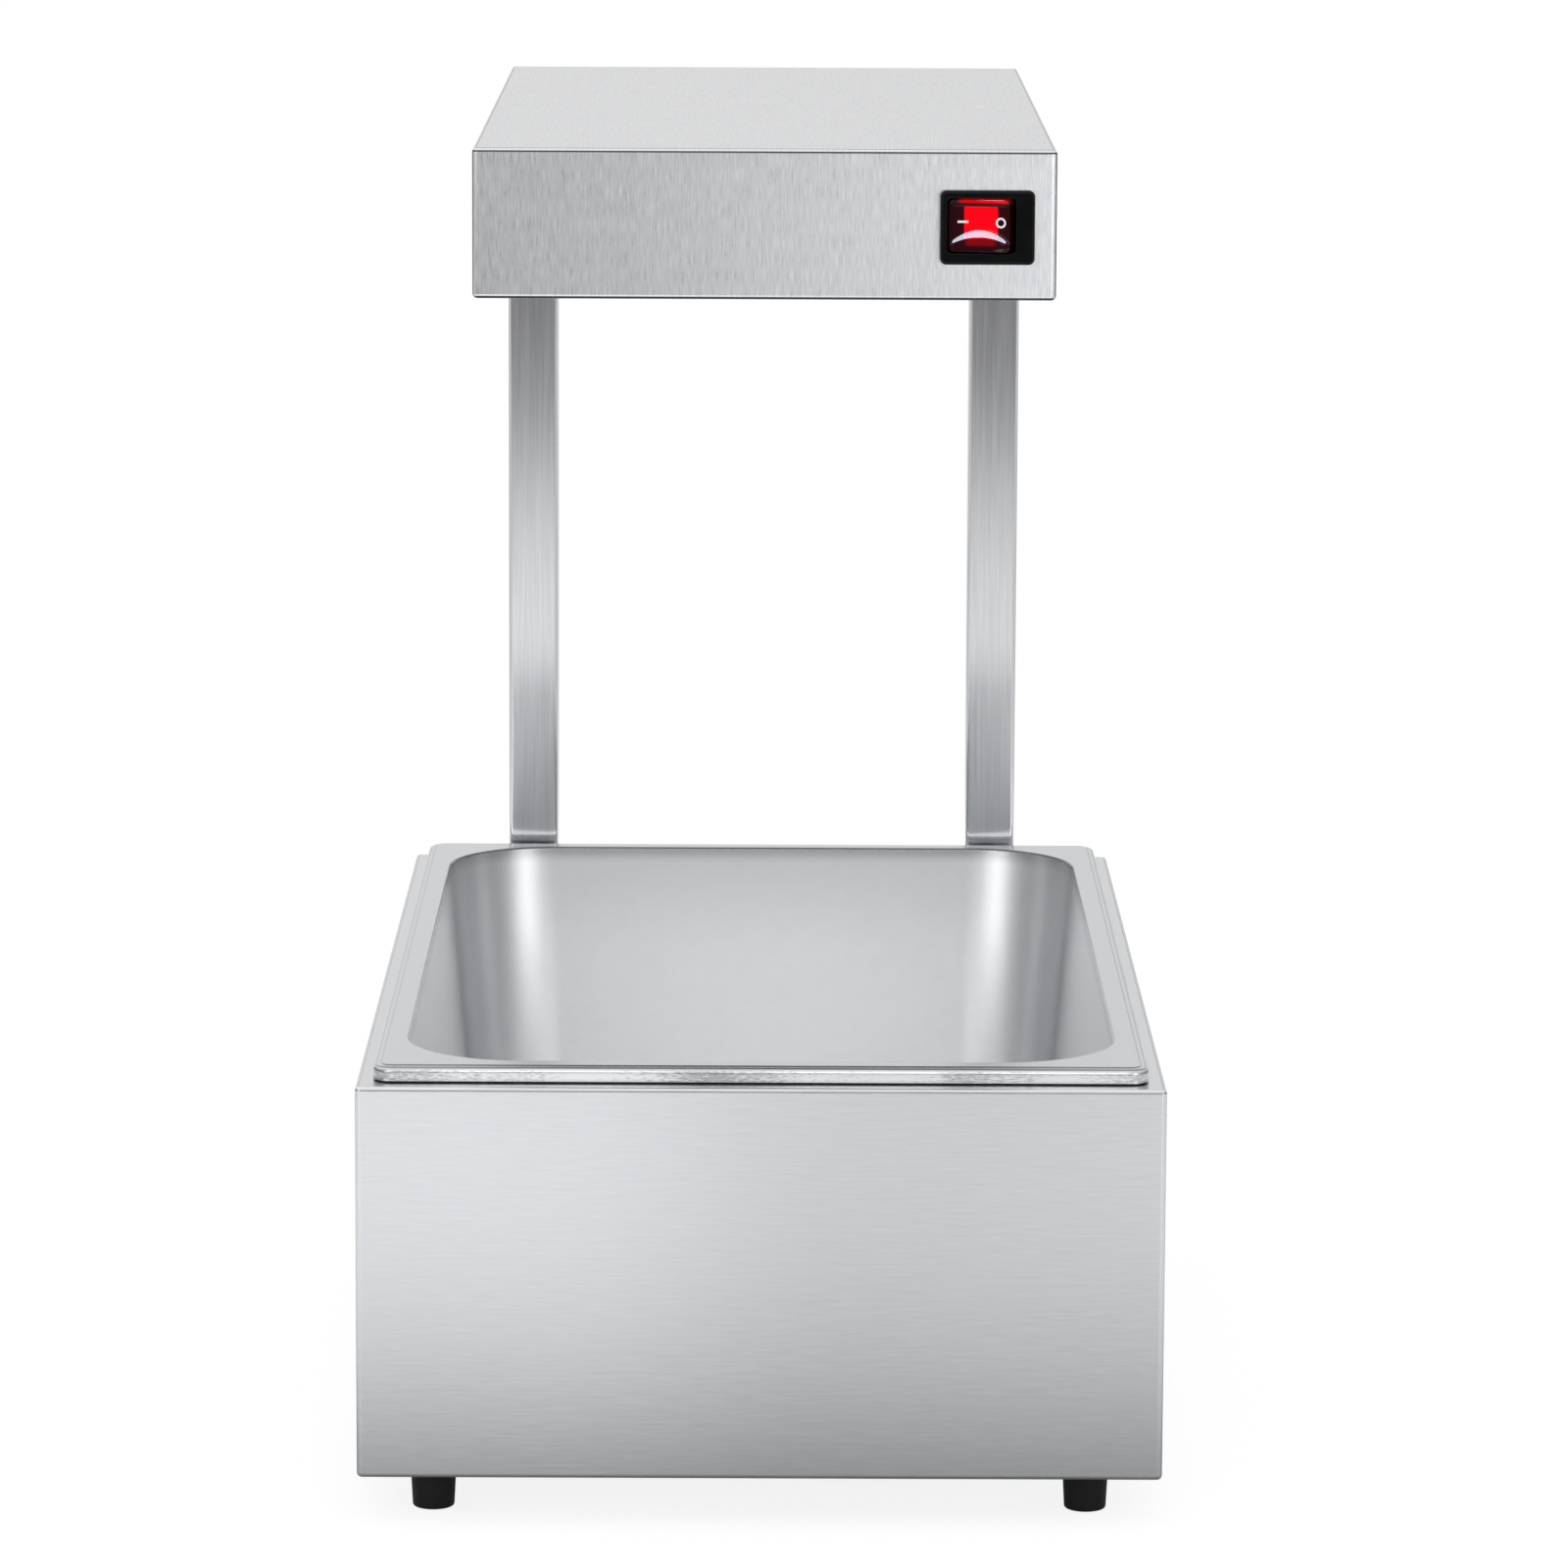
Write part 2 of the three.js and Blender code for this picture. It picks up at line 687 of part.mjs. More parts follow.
function gland_dome_nut() {
  const low = gland_hex_height + seat_gap;
  const high = low + gland_dome_length;
  const inner = gland_collar + seat_gap;
  const lip = gland_hex_height + gland_collar_length + seat_gap;
  const shoulder = high - (gland_dome - gland_dome_mouth);
  return turned([
    [inner, low],
    [gland_dome, low],
    [gland_dome, shoulder],
    [gland_dome_mouth, high],
    [gland_bore + seat_gap, high],
    [gland_bore + seat_gap, lip],
    [inner, lip],
    [inner, low],
  ]);
}

// Terminal block: a row of wire chambers with the screw wells open above
const terminal_pitch = 9;
const terminal_depth = 14;
const terminal_rise = 16;
const terminal_well = 2.2;
const terminal_well_depth = 6;
const terminal_poles = 3;
const terminal_length = terminal_pitch * terminal_poles;

function terminal_block() {
  const body = block(
    at(-terminal_length / 2, -terminal_depth / 2, 0),
    at(terminal_length / 2, terminal_depth / 2, terminal_rise),
  );
  const cuts = [];
  for (let pole = 0; pole < terminal_poles; pole++) {
    const x = (pole - (terminal_poles - 1) / 2) * terminal_pitch;
    cuts.push(bar('z', terminal_well, at(x, 0, terminal_rise - terminal_well_depth),
      terminal_well_depth + overrun));
  }
  return geometryOf(cut(solid(body), cuts));
}

function head_cover() {
  const shell = folded_casing(head_width, head_depth, head_height, head_return);
  const back = head_depth / 2 - sheet - overrun;
  const through = sheet + 2 * overrun;
  const window_x = switch_x + rocker_shift_x;
  const window_z = switch_height + rocker_shift_z;
  const half_width = switch_body_width / 2 + seat_gap;
  const half_height = switch_body_height / 2 + seat_gap;
  const front = -head_depth / 2;
  const drills = [
    block(
      at(window_x - half_width, front - overrun, window_z - half_height),
      at(window_x + half_width, front + sheet + overrun, window_z + half_height),
    ),
    bar('y', bush_hole, at(passage_x, back, head_passage_height), through, middle_round_steps),
  ];
  for (const side of [-1, 1]) {
    for (const height of [head_bolt_low, head_bolt_high]) {
      drills.push(bar('y', post_bolt_hole, at(side * (post_x + post_bolt_shift), back, height), through));
    }
  }
  for (const place of head_screw_places()) {
    drills.push(bar('z', sheet_screw.shank + hole_gap, at(place.x, place.y, -overrun), through));
  }
  const vent_rows = 3;
  const vent_columns = 2;
  drills.push(...vents(vent_rows, vent_columns, at(0, head_depth / 2, head_height / 2), true));
  return cut(shell, drills);
}

// Lamp opening in the head's bottom plate, with the guard and the reflector above it
const lamp_side_margin = 47;
const lamp_end_margin = 56;
const lamp_width = head_width - 2 * lamp_side_margin;
const lamp_length = head_depth - 2 * lamp_end_margin;
const lamp_corner = 4;
const guard_frame_radius = 1.6;
const guard_wire_radius = 1.2;
const guard_margin = 4;
const guard_pitch = 30;
const guard_rail_share = 0.17;
const reflector_sheet = 0.8;
const reflector_rise = 36;
const reflector_slope = 29;
const reflector_roof = lamp_width - 2 * reflector_slope;
const reflector_flange = 10;
const reflector_corner = 3;
const guard_level = plate_high + seat_gap + guard_frame_radius;
const reflector_low = guard_level + guard_frame_radius + seat_gap;

// The head's plate carries its own six screws and the four that hold the reflector
function head_bottom_plate() {
  const drills = [
    prism(lamp_width, lamp_length, lamp_corner, plate_low - overrun, plate_high + overrun, bend_steps),
  ];
  const reflector_screw = screw(sheet_screw, reflector_low + reflector_sheet + sheet_screw.tail);
  const screws = [
    ...repeated(screw(sheet_screw, plate_high + seat_gap + sheet_screw.tail), head_screw_places()),
    ...repeated(reflector_screw, reflector_screw_places()),
  ];
  return fuse(cut(inner_plate(head_width, head_depth), drills), screws);
}

function reflector_screw_places() {
  const x = lamp_width / 2 + 2 * guard_margin + sheet_screw.head / 2;
  const y = lamp_length / 3;
  return [-1, 1].flatMap((side) => [-1, 1].map((end) => at(side * x, end * y, plate_low - seat_gap)));
}

// Wire guard: a bent frame round the lamp opening with cross wires welded to it
function guard_grille() {
  const half_width = lamp_width / 2 + guard_margin;
  const half_length = lamp_length / 2 + guard_margin;
  const rings = [];
  for (let side = 0; side < wire_sides; side++) {
    const angle = side / wire_sides * Math.PI * 2;
    const out = guard_frame_radius * Math.cos(angle);
    rings.push(ring(
      half_width + out, half_length + out, lamp_corner + out,
      guard_frame_radius * Math.sin(angle), bend_steps,
    ));
  }
  const wires = [];
  const count = Math.floor(half_length / guard_pitch);
  for (let row = -count; row <= count; row++) {
    const start = at(-half_width, row * guard_pitch, 0);
    wires.push(bar('x', guard_wire_radius, start, 2 * half_width, wire_sides));
  }
  for (const side of [-1, 1]) {
    const start = at(side * guard_rail_share * lamp_width, -half_length, 0);
    wires.push(bar('y', guard_wire_radius, start, 2 * half_length, wire_sides));
  }
  return geometryOf(fuse(solid(hoop(rings)), wires));
}

// Trough reflector: sloping sides, upright ends, and a flange that lies on the guard's frame
function reflector() {
  const levels = (half_low, half_high, half_length, low, high, corner) => loft([
    ring(half_low, half_length, corner, low, bend_steps),
    ring(half_high, half_length, corner, high, bend_steps),
  ]);
  const roof = reflector_low + reflector_rise;
  const outside = levels(
    lamp_width / 2 + reflector_sheet, reflector_roof / 2 + reflector_sheet, lamp_length / 2 + reflector_sheet,
    reflector_low, roof + reflector_sheet, reflector_corner + reflector_sheet,
  );
  const slope = reflector_slope / reflector_rise;
  const inside = levels(
    lamp_width / 2 + slope * overrun, reflector_roof / 2, lamp_length / 2,
    reflector_low - overrun, roof, reflector_corner,
  );
  const flange_edge = 2 * (reflector_flange + reflector_sheet);
  const flange = prism(
    lamp_width + flange_edge, lamp_length + flange_edge, lamp_corner,
    reflector_low, reflector_low + reflector_sheet, bend_steps,
  );
  const drills = heater_x.map((x) => bar('y', heater_radius + hole_gap,
    at(x, -lamp_length / 2 - overrun, heater_level), lamp_length + 2 * overrun, middle_round_steps));
  for (const place of reflector_screw_places()) {
    drills.push(bar('z', sheet_screw.shank + hole_gap, at(place.x, place.y, reflector_low - overrun),
      reflector_sheet + 2 * overrun));
  }
  return geometryOf(cut(joined([outside, flange]), [inside, ...drills]));
}

// Infrared tubes: milky quartz round a wound core, each end in a ceramic cap
const heater_inset = 14;
const heater_x = [-1, 1].map((side) => side * (reflector_roof / 2 - heater_inset));
const heater_radius = 5.5;
const heater_wall = 1;
const heater_rise = 15;
const heater_level = reflector_low + heater_rise;
const cap_width = 17;
const cap_depth = 18;
const cap_floor = 4;
const cap_start = lamp_length / 2 + reflector_sheet + seat_gap;
const cap_end = cap_start + cap_depth;
const heater_half = cap_end - cap_floor - seat_gap;

function heater_tube() {
  const inner = heater_radius - heater_wall;
  return turned([
    [inner, -heater_half], [heater_radius, -heater_half],
    [heater_radius, heater_half], [inner, heater_half], [inner, -heater_half],
  ], middle_round_steps).rotateX(Math.PI / 2);
}

function heater_core() {
  const radius = heater_radius - heater_wall - seat_gap;
  return bar('y', radius, at(0, -heater_half, 0), 2 * heater_half, small_round_steps);
}

function heater_cap() {
  const body = block(at(-cap_width / 2, 0, -cap_width / 2), at(cap_width / 2, cap_depth, cap_width / 2));
  const socket = cap_depth - cap_floor + overrun;
  return geometryOf(cut(solid(body), [
    bar('y', heater_radius + seat_gap, at(0, -overrun, 0), socket, middle_round_steps),
  ]));
}

// Bracket that stands on the bottom plate behind a pair of caps and keeps them in
const bracket_foot = 14;
const bracket_rise = 34;
const lead_hole = 2.6;

function cap_bracket() {
  const foot_plate = block(
    at(-reflector_roof / 2, 0, plate_high + seat_gap),
    at(reflector_roof / 2, bracket_foot, plate_high + seat_gap + sheet),
  );
  const wall = block(
    at(-reflector_roof / 2, 0, plate_high + seat_gap), at(reflector_roof / 2, sheet, bracket_rise),
  );
  return geometryOf(cut(joined([foot_plate, wall]), heater_x.map((x) =>
    bar('y', lead_hole, at(x, -overrun, heater_level), sheet + 2 * overrun))));
}

// Rocker switch: bezel and body in one moulding, with a pocket that the rocker swings in and
// four blade terminals behind; drawn with its front down and its top edge towards -Y
const rocker_edge_angle = THREE.MathUtils.degToRad(22);
const rocker_skirt_angle = THREE.MathUtils.degToRad(-25);
const rocker_valley = 3.2;
const rocker_belly = 6.4;
const rocker_radius = rocker_width / 2;
const rocker_pin_radius = 1.2;
const rocker_pin_length = 1;
const blade_width = 6.3;
const blade_thickness = 0.8;
const blade_length = 8;
const blade_spread_x = 8;
const blade_spread_z = 7;
const rocker_floor_gap = 1;
const rocker_sweep = rocker_radius * Math.sin(rocker_travel / 2 - rocker_skirt_angle);
const pocket_depth = rocker_pivot_depth + rocker_sweep + rocker_floor_gap;

function switch_body() {
  const bezel = pillow(bezel_width, bezel_height, bezel_corner, bezel_edge, 0, bezel_depth + bezel_edge);
  const bezel_flat = prism(
    bezel_width + overrun, bezel_height + overrun, bezel_corner, bezel_depth, bezel_depth + 2 * bezel_edge,
    bend_steps,
  );
  const front = cut(solid(bezel), [bezel_flat]);
  const shift_y = -rocker_shift_z;
  const back = bezel_depth + switch_body_depth;
  const housing = block(
    at(rocker_shift_x - switch_body_width / 2, shift_y - switch_body_height / 2, bezel_depth / 2),
    at(rocker_shift_x + switch_body_width / 2, shift_y + switch_body_height / 2, back),
  );
  const pocket = prism(
    rocker_width + 2 * rocker_window_gap, rocker_height + 2 * rocker_window_gap, bezel_corner / 2,
    -overrun, pocket_depth, bend_steps,
  ).translate(rocker_shift_x, shift_y, 0);
  const pin_reach = rocker_height / 2 + rocker_pin_length + seat_gap;
  const pin_bore = bar('y', rocker_pin_radius + seat_gap,
    at(rocker_shift_x, shift_y - pin_reach, rocker_pivot_depth), 2 * pin_reach);
  const blade = block(
    at(-blade_thickness / 2, -blade_width / 2, back - weld),
    at(blade_thickness / 2, blade_width / 2, back + blade_length),
  );
  const blades = repeated(blade, [-1, 1].flatMap((side) => [-1, 1].map((row) =>
    at(rocker_shift_x + side * blade_spread_x, shift_y + row * blade_spread_z, 0))));
  return geometryOf(fuse(cut(front.add(solid(housing)), [pocket, pin_bore]), blades));
}

// Rocker about its pivot, seen from above and midway in its travel: a dished face between two
// finger ends, and ends that are arcs about the pivot so that they clear the pocket
function switch_rocker() {
  const shape = new THREE.Shape();
  const edge_x = rocker_radius * Math.cos(rocker_edge_angle);
  const edge_y = rocker_radius * Math.sin(rocker_edge_angle);
  shape.moveTo(-edge_x, -edge_y);
  shape.quadraticCurveTo(0, -2 * rocker_valley + edge_y, edge_x, -edge_y);
  shape.absarc(0, 0, rocker_radius, -rocker_edge_angle, -rocker_skirt_angle, false);
  shape.lineTo(0, rocker_belly);
  shape.absarc(0, 0, rocker_radius, Math.PI + rocker_skirt_angle, Math.PI + rocker_edge_angle, false);
  const body = new THREE.ExtrudeGeometry(shape, {
    depth: rocker_height, bevelEnabled: false, curveSegments: arc_steps,
  }).translate(0, 0, -rocker_height / 2);
  const pin_half = rocker_height / 2 + rocker_pin_length;
  const pin = bar('z', rocker_pin_radius, at(0, 0, -pin_half), 2 * pin_half);
  return geometryOf(joined([body, pin]));
}

// The whole warmer stands in one group, shifted so that its middle lies over the origin
const food_warmer = new THREE.Group();
const stand = new THREE.Group();
stand.position.y = -overall_depth / 2;
food_warmer.add(stand);

// Each casing has a group at the middle of its own underside
const base = new THREE.Group();
base.position.set(0, base_depth / 2, base_bottom);
stand.add(base);
const head = new THREE.Group();
head.position.set(0, head_middle, head_bottom);
stand.add(head);

function place(parent, name, geometry, material, position = at(0, 0, 0)) {
  const mesh = new THREE.Mesh(geometry, material);
  mesh.name = name;
  mesh.position.copy(position);
  parent.add(mesh);
  return mesh;
}

// Base
place(base, 'base_casing', geometryOf(base_casing()), steel);
place(base, 'base_bottom_plate', geometryOf(base_bottom_plate()), steel);
const foot_bolt_seat = foot_counterbore_depth - seat_gap - base_bottom;
const foot_bolt_length = plate_high + foot_bolt.nut_height + foot_bolt.tail - foot_bolt_seat;
for (const { corner, x, y } of foot_places) {
  place(base, `foot_${corner}`, foot(), rubber, at(x, y, -base_bottom));
  place(base, `foot_bolt_${corner}`, screw(foot_bolt, foot_bolt_length), zinc, at(x, y, foot_bolt_seat));
}

// Pan, dropped into the well
place(stand, 'gastronorm_pan', gastronorm_pan(), pan_steel, at(0, pan_middle, pan_top - pan_depth));

// Posts with their plugs, anchors and bolts
const post_bolt_seat = post_back + seat_gap;
const anchor_inner_face = back_plane - sheet - seat_gap - anchor_thickness;
const post_bolt_length = post_bolt_seat - anchor_inner_face + post_bolt.nut_height + post_bolt.tail;
for (const [side_name, side] of [['left', -1], ['right', 1]]) {
  const x = side * post_x;
  const y = post_front + post_size / 2;
  place(stand, `post_${side_name}`, geometryOf(post(side, side > 0)), steel, at(x, y, 0));
  place(stand, `post_foot_plug_${side_name}`, post_plug(), black_plastic, at(x, y, post_low));
  const top_plug = place(stand, `post_top_plug_${side_name}`, post_plug(), black_plastic,
    at(x, y, post_high));
  top_plug.rotation.x = Math.PI;
  const anchor_face = base_depth / 2 - sheet - seat_gap - anchor_thickness;
  place(base, `base_anchor_${side_name}`,
    anchor_plate(base_bolt_low, base_bolt_high, side, side > 0), steel, at(x, anchor_face, 0));
  const head_anchor_face = head_depth / 2 - sheet - seat_gap - anchor_thickness;
  place(head, `head_anchor_${side_name}`,
    anchor_plate(head_bolt_low, head_bolt_high, side, side > 0), steel, at(x, head_anchor_face, 0));
  for (const [index, spot] of ['base_low', 'base_high', 'head_low', 'head_high'].entries()) {
    place(stand, `post_bolt_${spot}_${side_name}`,
      screw(post_bolt, post_bolt_length).applyMatrix4(point_front), zinc,
      at(side * (post_x + post_bolt_shift), post_bolt_seat, post_bolt_levels()[index]));
  }
}

// Cable gland, terminal block and the cable that runs up the right post
const gland = new THREE.Group();
gland.position.set(gland_x, base_depth / 2, gland_height);
gland.rotation.x = -Math.PI / 2;
base.add(gland);
place(gland, 'gland_body', gland_body(), black_plastic);
place(gland, 'gland_seal', gland_seal(), rubber);
place(gland, 'gland_dome_nut', gland_dome_nut(), black_plastic);
place(gland, 'gland_lock_nut', nut(gland_nut).translate(0, 0, -sheet - seat_gap - gland_nut.nut_height),
  black_plastic);

const base_block_run = 59;
const base_block_x = passage_x - base_block_run;
const base_block_height = 30;
const base_block_y = base_depth / 2 - sheet - seat_gap - terminal_depth / 2;
place(base, 'base_terminal_block', terminal_block(), nylon,
  at(base_block_x, base_block_y, base_block_height));
const bush_seat = sheet + seat_gap;
for (const [parent, name, depth, height] of [
  [base, 'wire_bush_base', base_depth, base_passage_height],
  [head, 'wire_bush_head', head_depth, head_passage_height],
]) {
  place(parent, name, wire_bush().applyMatrix4(point_back), rubber,
    at(passage_x, depth / 2 - bush_seat, height));
}

const head_block_side = 19;
const head_block_back = 92;
const head_block_x = head_width / 2 - head_block_side;
const head_block_y = head_depth / 2 - head_block_back;
const head_block_level = plate_high + seat_gap;
const head_block = place(head, 'head_terminal_block', terminal_block(), nylon,
  at(head_block_x, head_block_y, head_block_level));
head_block.rotation.z = Math.PI / 2;

// The cable rises from the terminal block, passes each wall straight and climbs inside the post
const cable_bend = 3 * cable_radius;
const cable_run_gap = 5;
const post_centre = post_front + post_size / 2;
const block_line = back_plane - sheet - seat_gap - terminal_depth / 2;
const run_line = block_line - cable_run_gap;
const base_block_top = base_bottom + base_block_height + terminal_rise + seat_gap;
const base_passage = base_bottom + base_passage_height;
const head_passage = head_bottom + head_passage_height;
const head_block_rear = head_middle + head_block_y + terminal_length / 2 + seat_gap;
const head_block_mid = head_bottom + head_block_level + terminal_rise / 2;
const cable_rise_x = base_block_x + terminal_pitch;
place(stand, 'supply_cable', wire([
  at(cable_rise_x, block_line, base_block_top),
  at(cable_rise_x, block_line, base_block_top + 2 * cable_bend),
  at(cable_rise_x, run_line, base_passage),
  at(passage_x, run_line, base_passage),
  at(passage_x, post_centre, base_passage),
  at(passage_x, post_centre, head_passage),
  at(passage_x, run_line - 2 * cable_bend, head_passage),
  at(head_block_x, head_block_rear + 2 * cable_bend, head_block_mid),
  at(head_block_x, head_block_rear, head_block_mid),
], cable_radius, cable_bend), cable_sheath);

// Head
place(head, 'head_cover', geometryOf(head_cover()), steel);
place(head, 'head_bottom_plate', geometryOf(head_bottom_plate()), steel);
place(head, 'guard_grille', guard_grille(), zinc, at(0, 0, guard_level));
place(head, 'reflector', reflector(), mirror_steel);
for (const [index, side_name] of ['left', 'right'].entries()) {
  const x = heater_x[index];
  place(head, `heater_tube_${side_name}`, heater_tube(), quartz, at(x, 0, heater_level));
  place(head, `heater_core_${side_name}`, heater_core(), ceramic, at(x, 0, heater_level));
  place(head, `heater_cap_rear_${side_name}`, heater_cap(), ceramic, at(x, cap_start, heater_level));
  const front_cap = place(head, `heater_cap_front_${side_name}`, heater_cap(), ceramic,
    at(x, -cap_start, heater_level));
  front_cap.rotation.z = Math.PI;
}
const bracket_face = cap_end + seat_gap;
place(head, 'cap_bracket_rear', cap_bracket(), steel, at(0, bracket_face, 0));
const front_bracket = place(head, 'cap_bracket_front', cap_bracket(), steel, at(0, -bracket_face, 0));
front_bracket.rotation.z = Math.PI;

// Leads inside the head: block to each rear cap, a link between the front caps, and the
// switch's own pair
const lead_radius = 1.4;
const lead_bend = 3 * lead_radius;
const lead_start = cap_end + seat_gap;
const lead_turn = lead_start + sheet + lead_bend;
const block_front = head_block_y - terminal_length / 2 - seat_gap;
const block_side = head_block_x - terminal_depth / 2 - seat_gap;
const block_mid = head_block_level + terminal_rise / 2;
for (const [side_name, x, lane] of [['left', heater_x[0], 1], ['right', heater_x[1], 0]]) {
  const line = lead_turn + lane * lead_bend;
  const run_x = block_side - (2 - lane) * lead_bend;
  const along = head_block_y - (1 - lane) * terminal_pitch;
  place(head, `heater_lead_${side_name}`, wire([
    at(x, lead_start, heater_level),
    at(x, line, heater_level),
    at(run_x, line, heater_level),
    at(run_x, along + 2 * lead_bend, block_mid),
    at(run_x, along, block_mid),
    at(block_side, along, block_mid),
  ], lead_radius, lead_bend), silicone);
}
place(head, 'heater_link', wire([
  at(heater_x[0], -lead_start, heater_level),
  at(heater_x[0], -lead_turn - lead_bend, heater_level),
  at(heater_x[1], -lead_turn - lead_bend, heater_level),
  at(heater_x[1], -lead_start, heater_level),
], lead_radius, lead_bend), silicone);

// Switch, set in the head's front wall with the rocker pressed at its left, the on side
const switch_group = new THREE.Group();
switch_group.position.set(switch_x, -head_depth / 2 - seat_gap - bezel_depth, switch_height);
head.add(switch_group);
place(switch_group, 'switch_body', switch_body().applyMatrix4(point_back), black_plastic);
const rocker = place(switch_group, 'switch_rocker', switch_rocker(), red_lens,
  at(rocker_shift_x, rocker_pivot_depth, rocker_shift_z));
rocker.rotation.z = -rocker_travel / 2;
const switch_end = -head_depth / 2 - seat_gap + switch_body_depth + blade_length + seat_gap;
const switch_lead_x = switch_x + rocker_shift_x + blade_spread_x;
const switch_lead_z = switch_height + rocker_shift_z + blade_spread_z;
place(head, 'switch_lead', wire([
  at(switch_lead_x, switch_end, switch_lead_z),
  at(switch_lead_x, switch_end + 2 * lead_bend, switch_lead_z),
  at(head_block_x, block_front - 2 * lead_bend, block_mid),
  at(head_block_x, block_front, block_mid),
], lead_radius, lead_bend), silicone);

export default food_warmer;
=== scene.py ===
import math

import bmesh
import bpy
from mathutils import Matrix, Vector


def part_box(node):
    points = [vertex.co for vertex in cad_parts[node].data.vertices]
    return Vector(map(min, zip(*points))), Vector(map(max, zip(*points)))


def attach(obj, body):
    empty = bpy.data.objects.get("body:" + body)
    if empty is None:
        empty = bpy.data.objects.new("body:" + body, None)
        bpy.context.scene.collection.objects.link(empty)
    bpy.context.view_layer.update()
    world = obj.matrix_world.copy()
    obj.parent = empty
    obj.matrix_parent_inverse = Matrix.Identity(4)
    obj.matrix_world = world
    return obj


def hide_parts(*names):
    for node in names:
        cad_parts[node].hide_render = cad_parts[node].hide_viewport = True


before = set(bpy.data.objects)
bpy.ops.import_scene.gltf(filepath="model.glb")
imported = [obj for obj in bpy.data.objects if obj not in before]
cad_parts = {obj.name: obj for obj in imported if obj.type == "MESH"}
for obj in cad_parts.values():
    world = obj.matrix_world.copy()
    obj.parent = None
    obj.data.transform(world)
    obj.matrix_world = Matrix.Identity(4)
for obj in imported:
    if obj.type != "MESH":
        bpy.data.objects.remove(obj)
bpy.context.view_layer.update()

# Food warmer: a brushed steel base with a drop-in pan, two posts and a heating head.
# Lengths are millimetres until piece() turns them to metres. X to the right, Y away from the
# server, Z up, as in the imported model.
MM = 0.001
QUARTER = math.pi / 2
sides = ("left", "right")
corners = ("front_left", "front_right", "rear_left", "rear_right")
scene = bpy.context.scene

# Sheet metal and fits
sheet = 1.0
edge_bend = 2.0
corner_bend = 2.4
bend_steps = 8
corner_steps = 16
small_steps = 8
seat_gap = 0.3
plate_clearance = 0.5
punch_reach = 4

# Base and its well
base_width = 339.0
base_depth = 546.0
base_height = 168.0
base_return = 15.0
well_width = 308.0
well_length = 513.0
well_corner = 54.0
upstand_height = 6.3
upstand_foot = 0.8
upstand_brow = 0.25

# Pan
pan_width = 325.0
pan_length = 530.0
pan_depth = 150.0
pan_sheet = 0.8
pan_rim_height = 6.5
pan_flange_width = 12.5
pan_rim_bend = 2.4
pan_mouth_bend = 1.0
pan_rim_corner = 8.0
pan_bead_step = 0.5
pan_bead_start = 2.8
pan_bead_end = 3.9
pan_mouth_corner = 50.0
pan_floor_corner = 42.0
pan_floor_fillet = 20.0
pan_draft = math.radians(5)
pan_arc_steps = 12
pan_bead_steps = 8
pan_wall_steps = 10
pan_corner_steps = 24

# Head
head_width = 244.0
head_depth = 484.0
head_height = 63.0
head_return = 12.0
lamp_width = 150.0
lamp_length = 372.0
lamp_corner = 4.0
guard_frame = 1.6
guard_wire = 1.2
guard_margin = 4.0
guard_pitch = 30.0
guard_rail = 25.5
vent_length = 60.0
vent_width = 5.0
vent_pitch = 12.0

# Posts
post_size = 24.0
post_wall = 1.2
post_corner = 2.0
post_corner_steps = 10
plug_cap = 2.0
plug_edge = 0.5
plug_stem = 4.5
plug_stem_corner = 0.8

# Feet
foot_top = 9.9
foot_bottom = 8.9
foot_edge = 1.2
foot_chamfer = 0.5
foot_height = 21.0
foot_bore = 2.4
foot_counterbore = 5.0
foot_counterbore_depth = 6.0
foot_mouth = 0.3

# Fasteners: shank radius, head radius, head height, recess depth
foot_bolt = (2.0, 4.2, 2.4, 1.2)
post_bolt = (2.5, 4.75, 2.75, 1.6)
sheet_screw = (1.6, 3.2, 1.8, 0.9)
sheet_screw_length = 5.5
reflector_screw_length = 6.0
shank_chamfer = 0.3
head_chamfer = 0.15
head_side = 0.45          # of the head's height, before the dome starts
dome_steps = 30
pole = 0.01               # radius of the ring that closes a turned end
# Recesses, as shares of the head's radius
cross_arm, cross_reach, cross_wall, cross_slope = 0.17, 0.66, 0.07, 0.55
hex_reach, hex_wall = 0.5, 0.05

# Gland
gland_hex = 11.0
gland_hex_height = 5.0
gland_hex_corner = 0.25
gland_chamfer = 0.9
gland_barrel = 7.7
gland_inner_length = 9.0
gland_collar = 6.6
gland_collar_length = 9.0
gland_bore = 3.6
gland_seat = 5.7
gland_seat_depth = 7.3
gland_dome = 9.6
gland_dome_length = 15.0
gland_dome_mouth = 6.2
gland_flutes = 12
gland_flute_depth = 0.45
gland_steps = 96
seal_wall = 1.8
seal_span = (7.0, 14.0)

# Switch
bezel_width = 39.5
bezel_height = 31.0
bezel_depth = 3.0
bezel_corner = 2.6
bezel_edge = 1.4
bezel_steps = 12
window_width = 28.6
window_height = 23.0
window_corner = 1.7
window_edge = 0.4
window_shift = Vector((-2.6, 0.0, 0.8))
housing_width = 31.8
housing_height = 26.2
housing_depth = 24.0
housing_corner = 0.6
pocket_depth = 13.9
blade_length = 8.0
blade_taper = 0.8
blade_half = (0.4, 3.15)
blade_tip_half = (0.2, 2.4)
blade_places = (8, 7)
rocker_height = 22.0
rocker_radius = 13.8
rocker_edge_angle = math.radians(22)
rocker_skirt_angle = math.radians(25)
rocker_valley = 3.2
rocker_belly = 6.4
rocker_corner = 2.5
rocker_soft = 0.45
rocker_draw = 0.55
rocker_rows = 60
rocker_columns = 56
rocker_pin = 1.2
rocker_pin_length = 1.0
rocker_travel = math.radians(20)
rocker_pivot_depth = 5.0
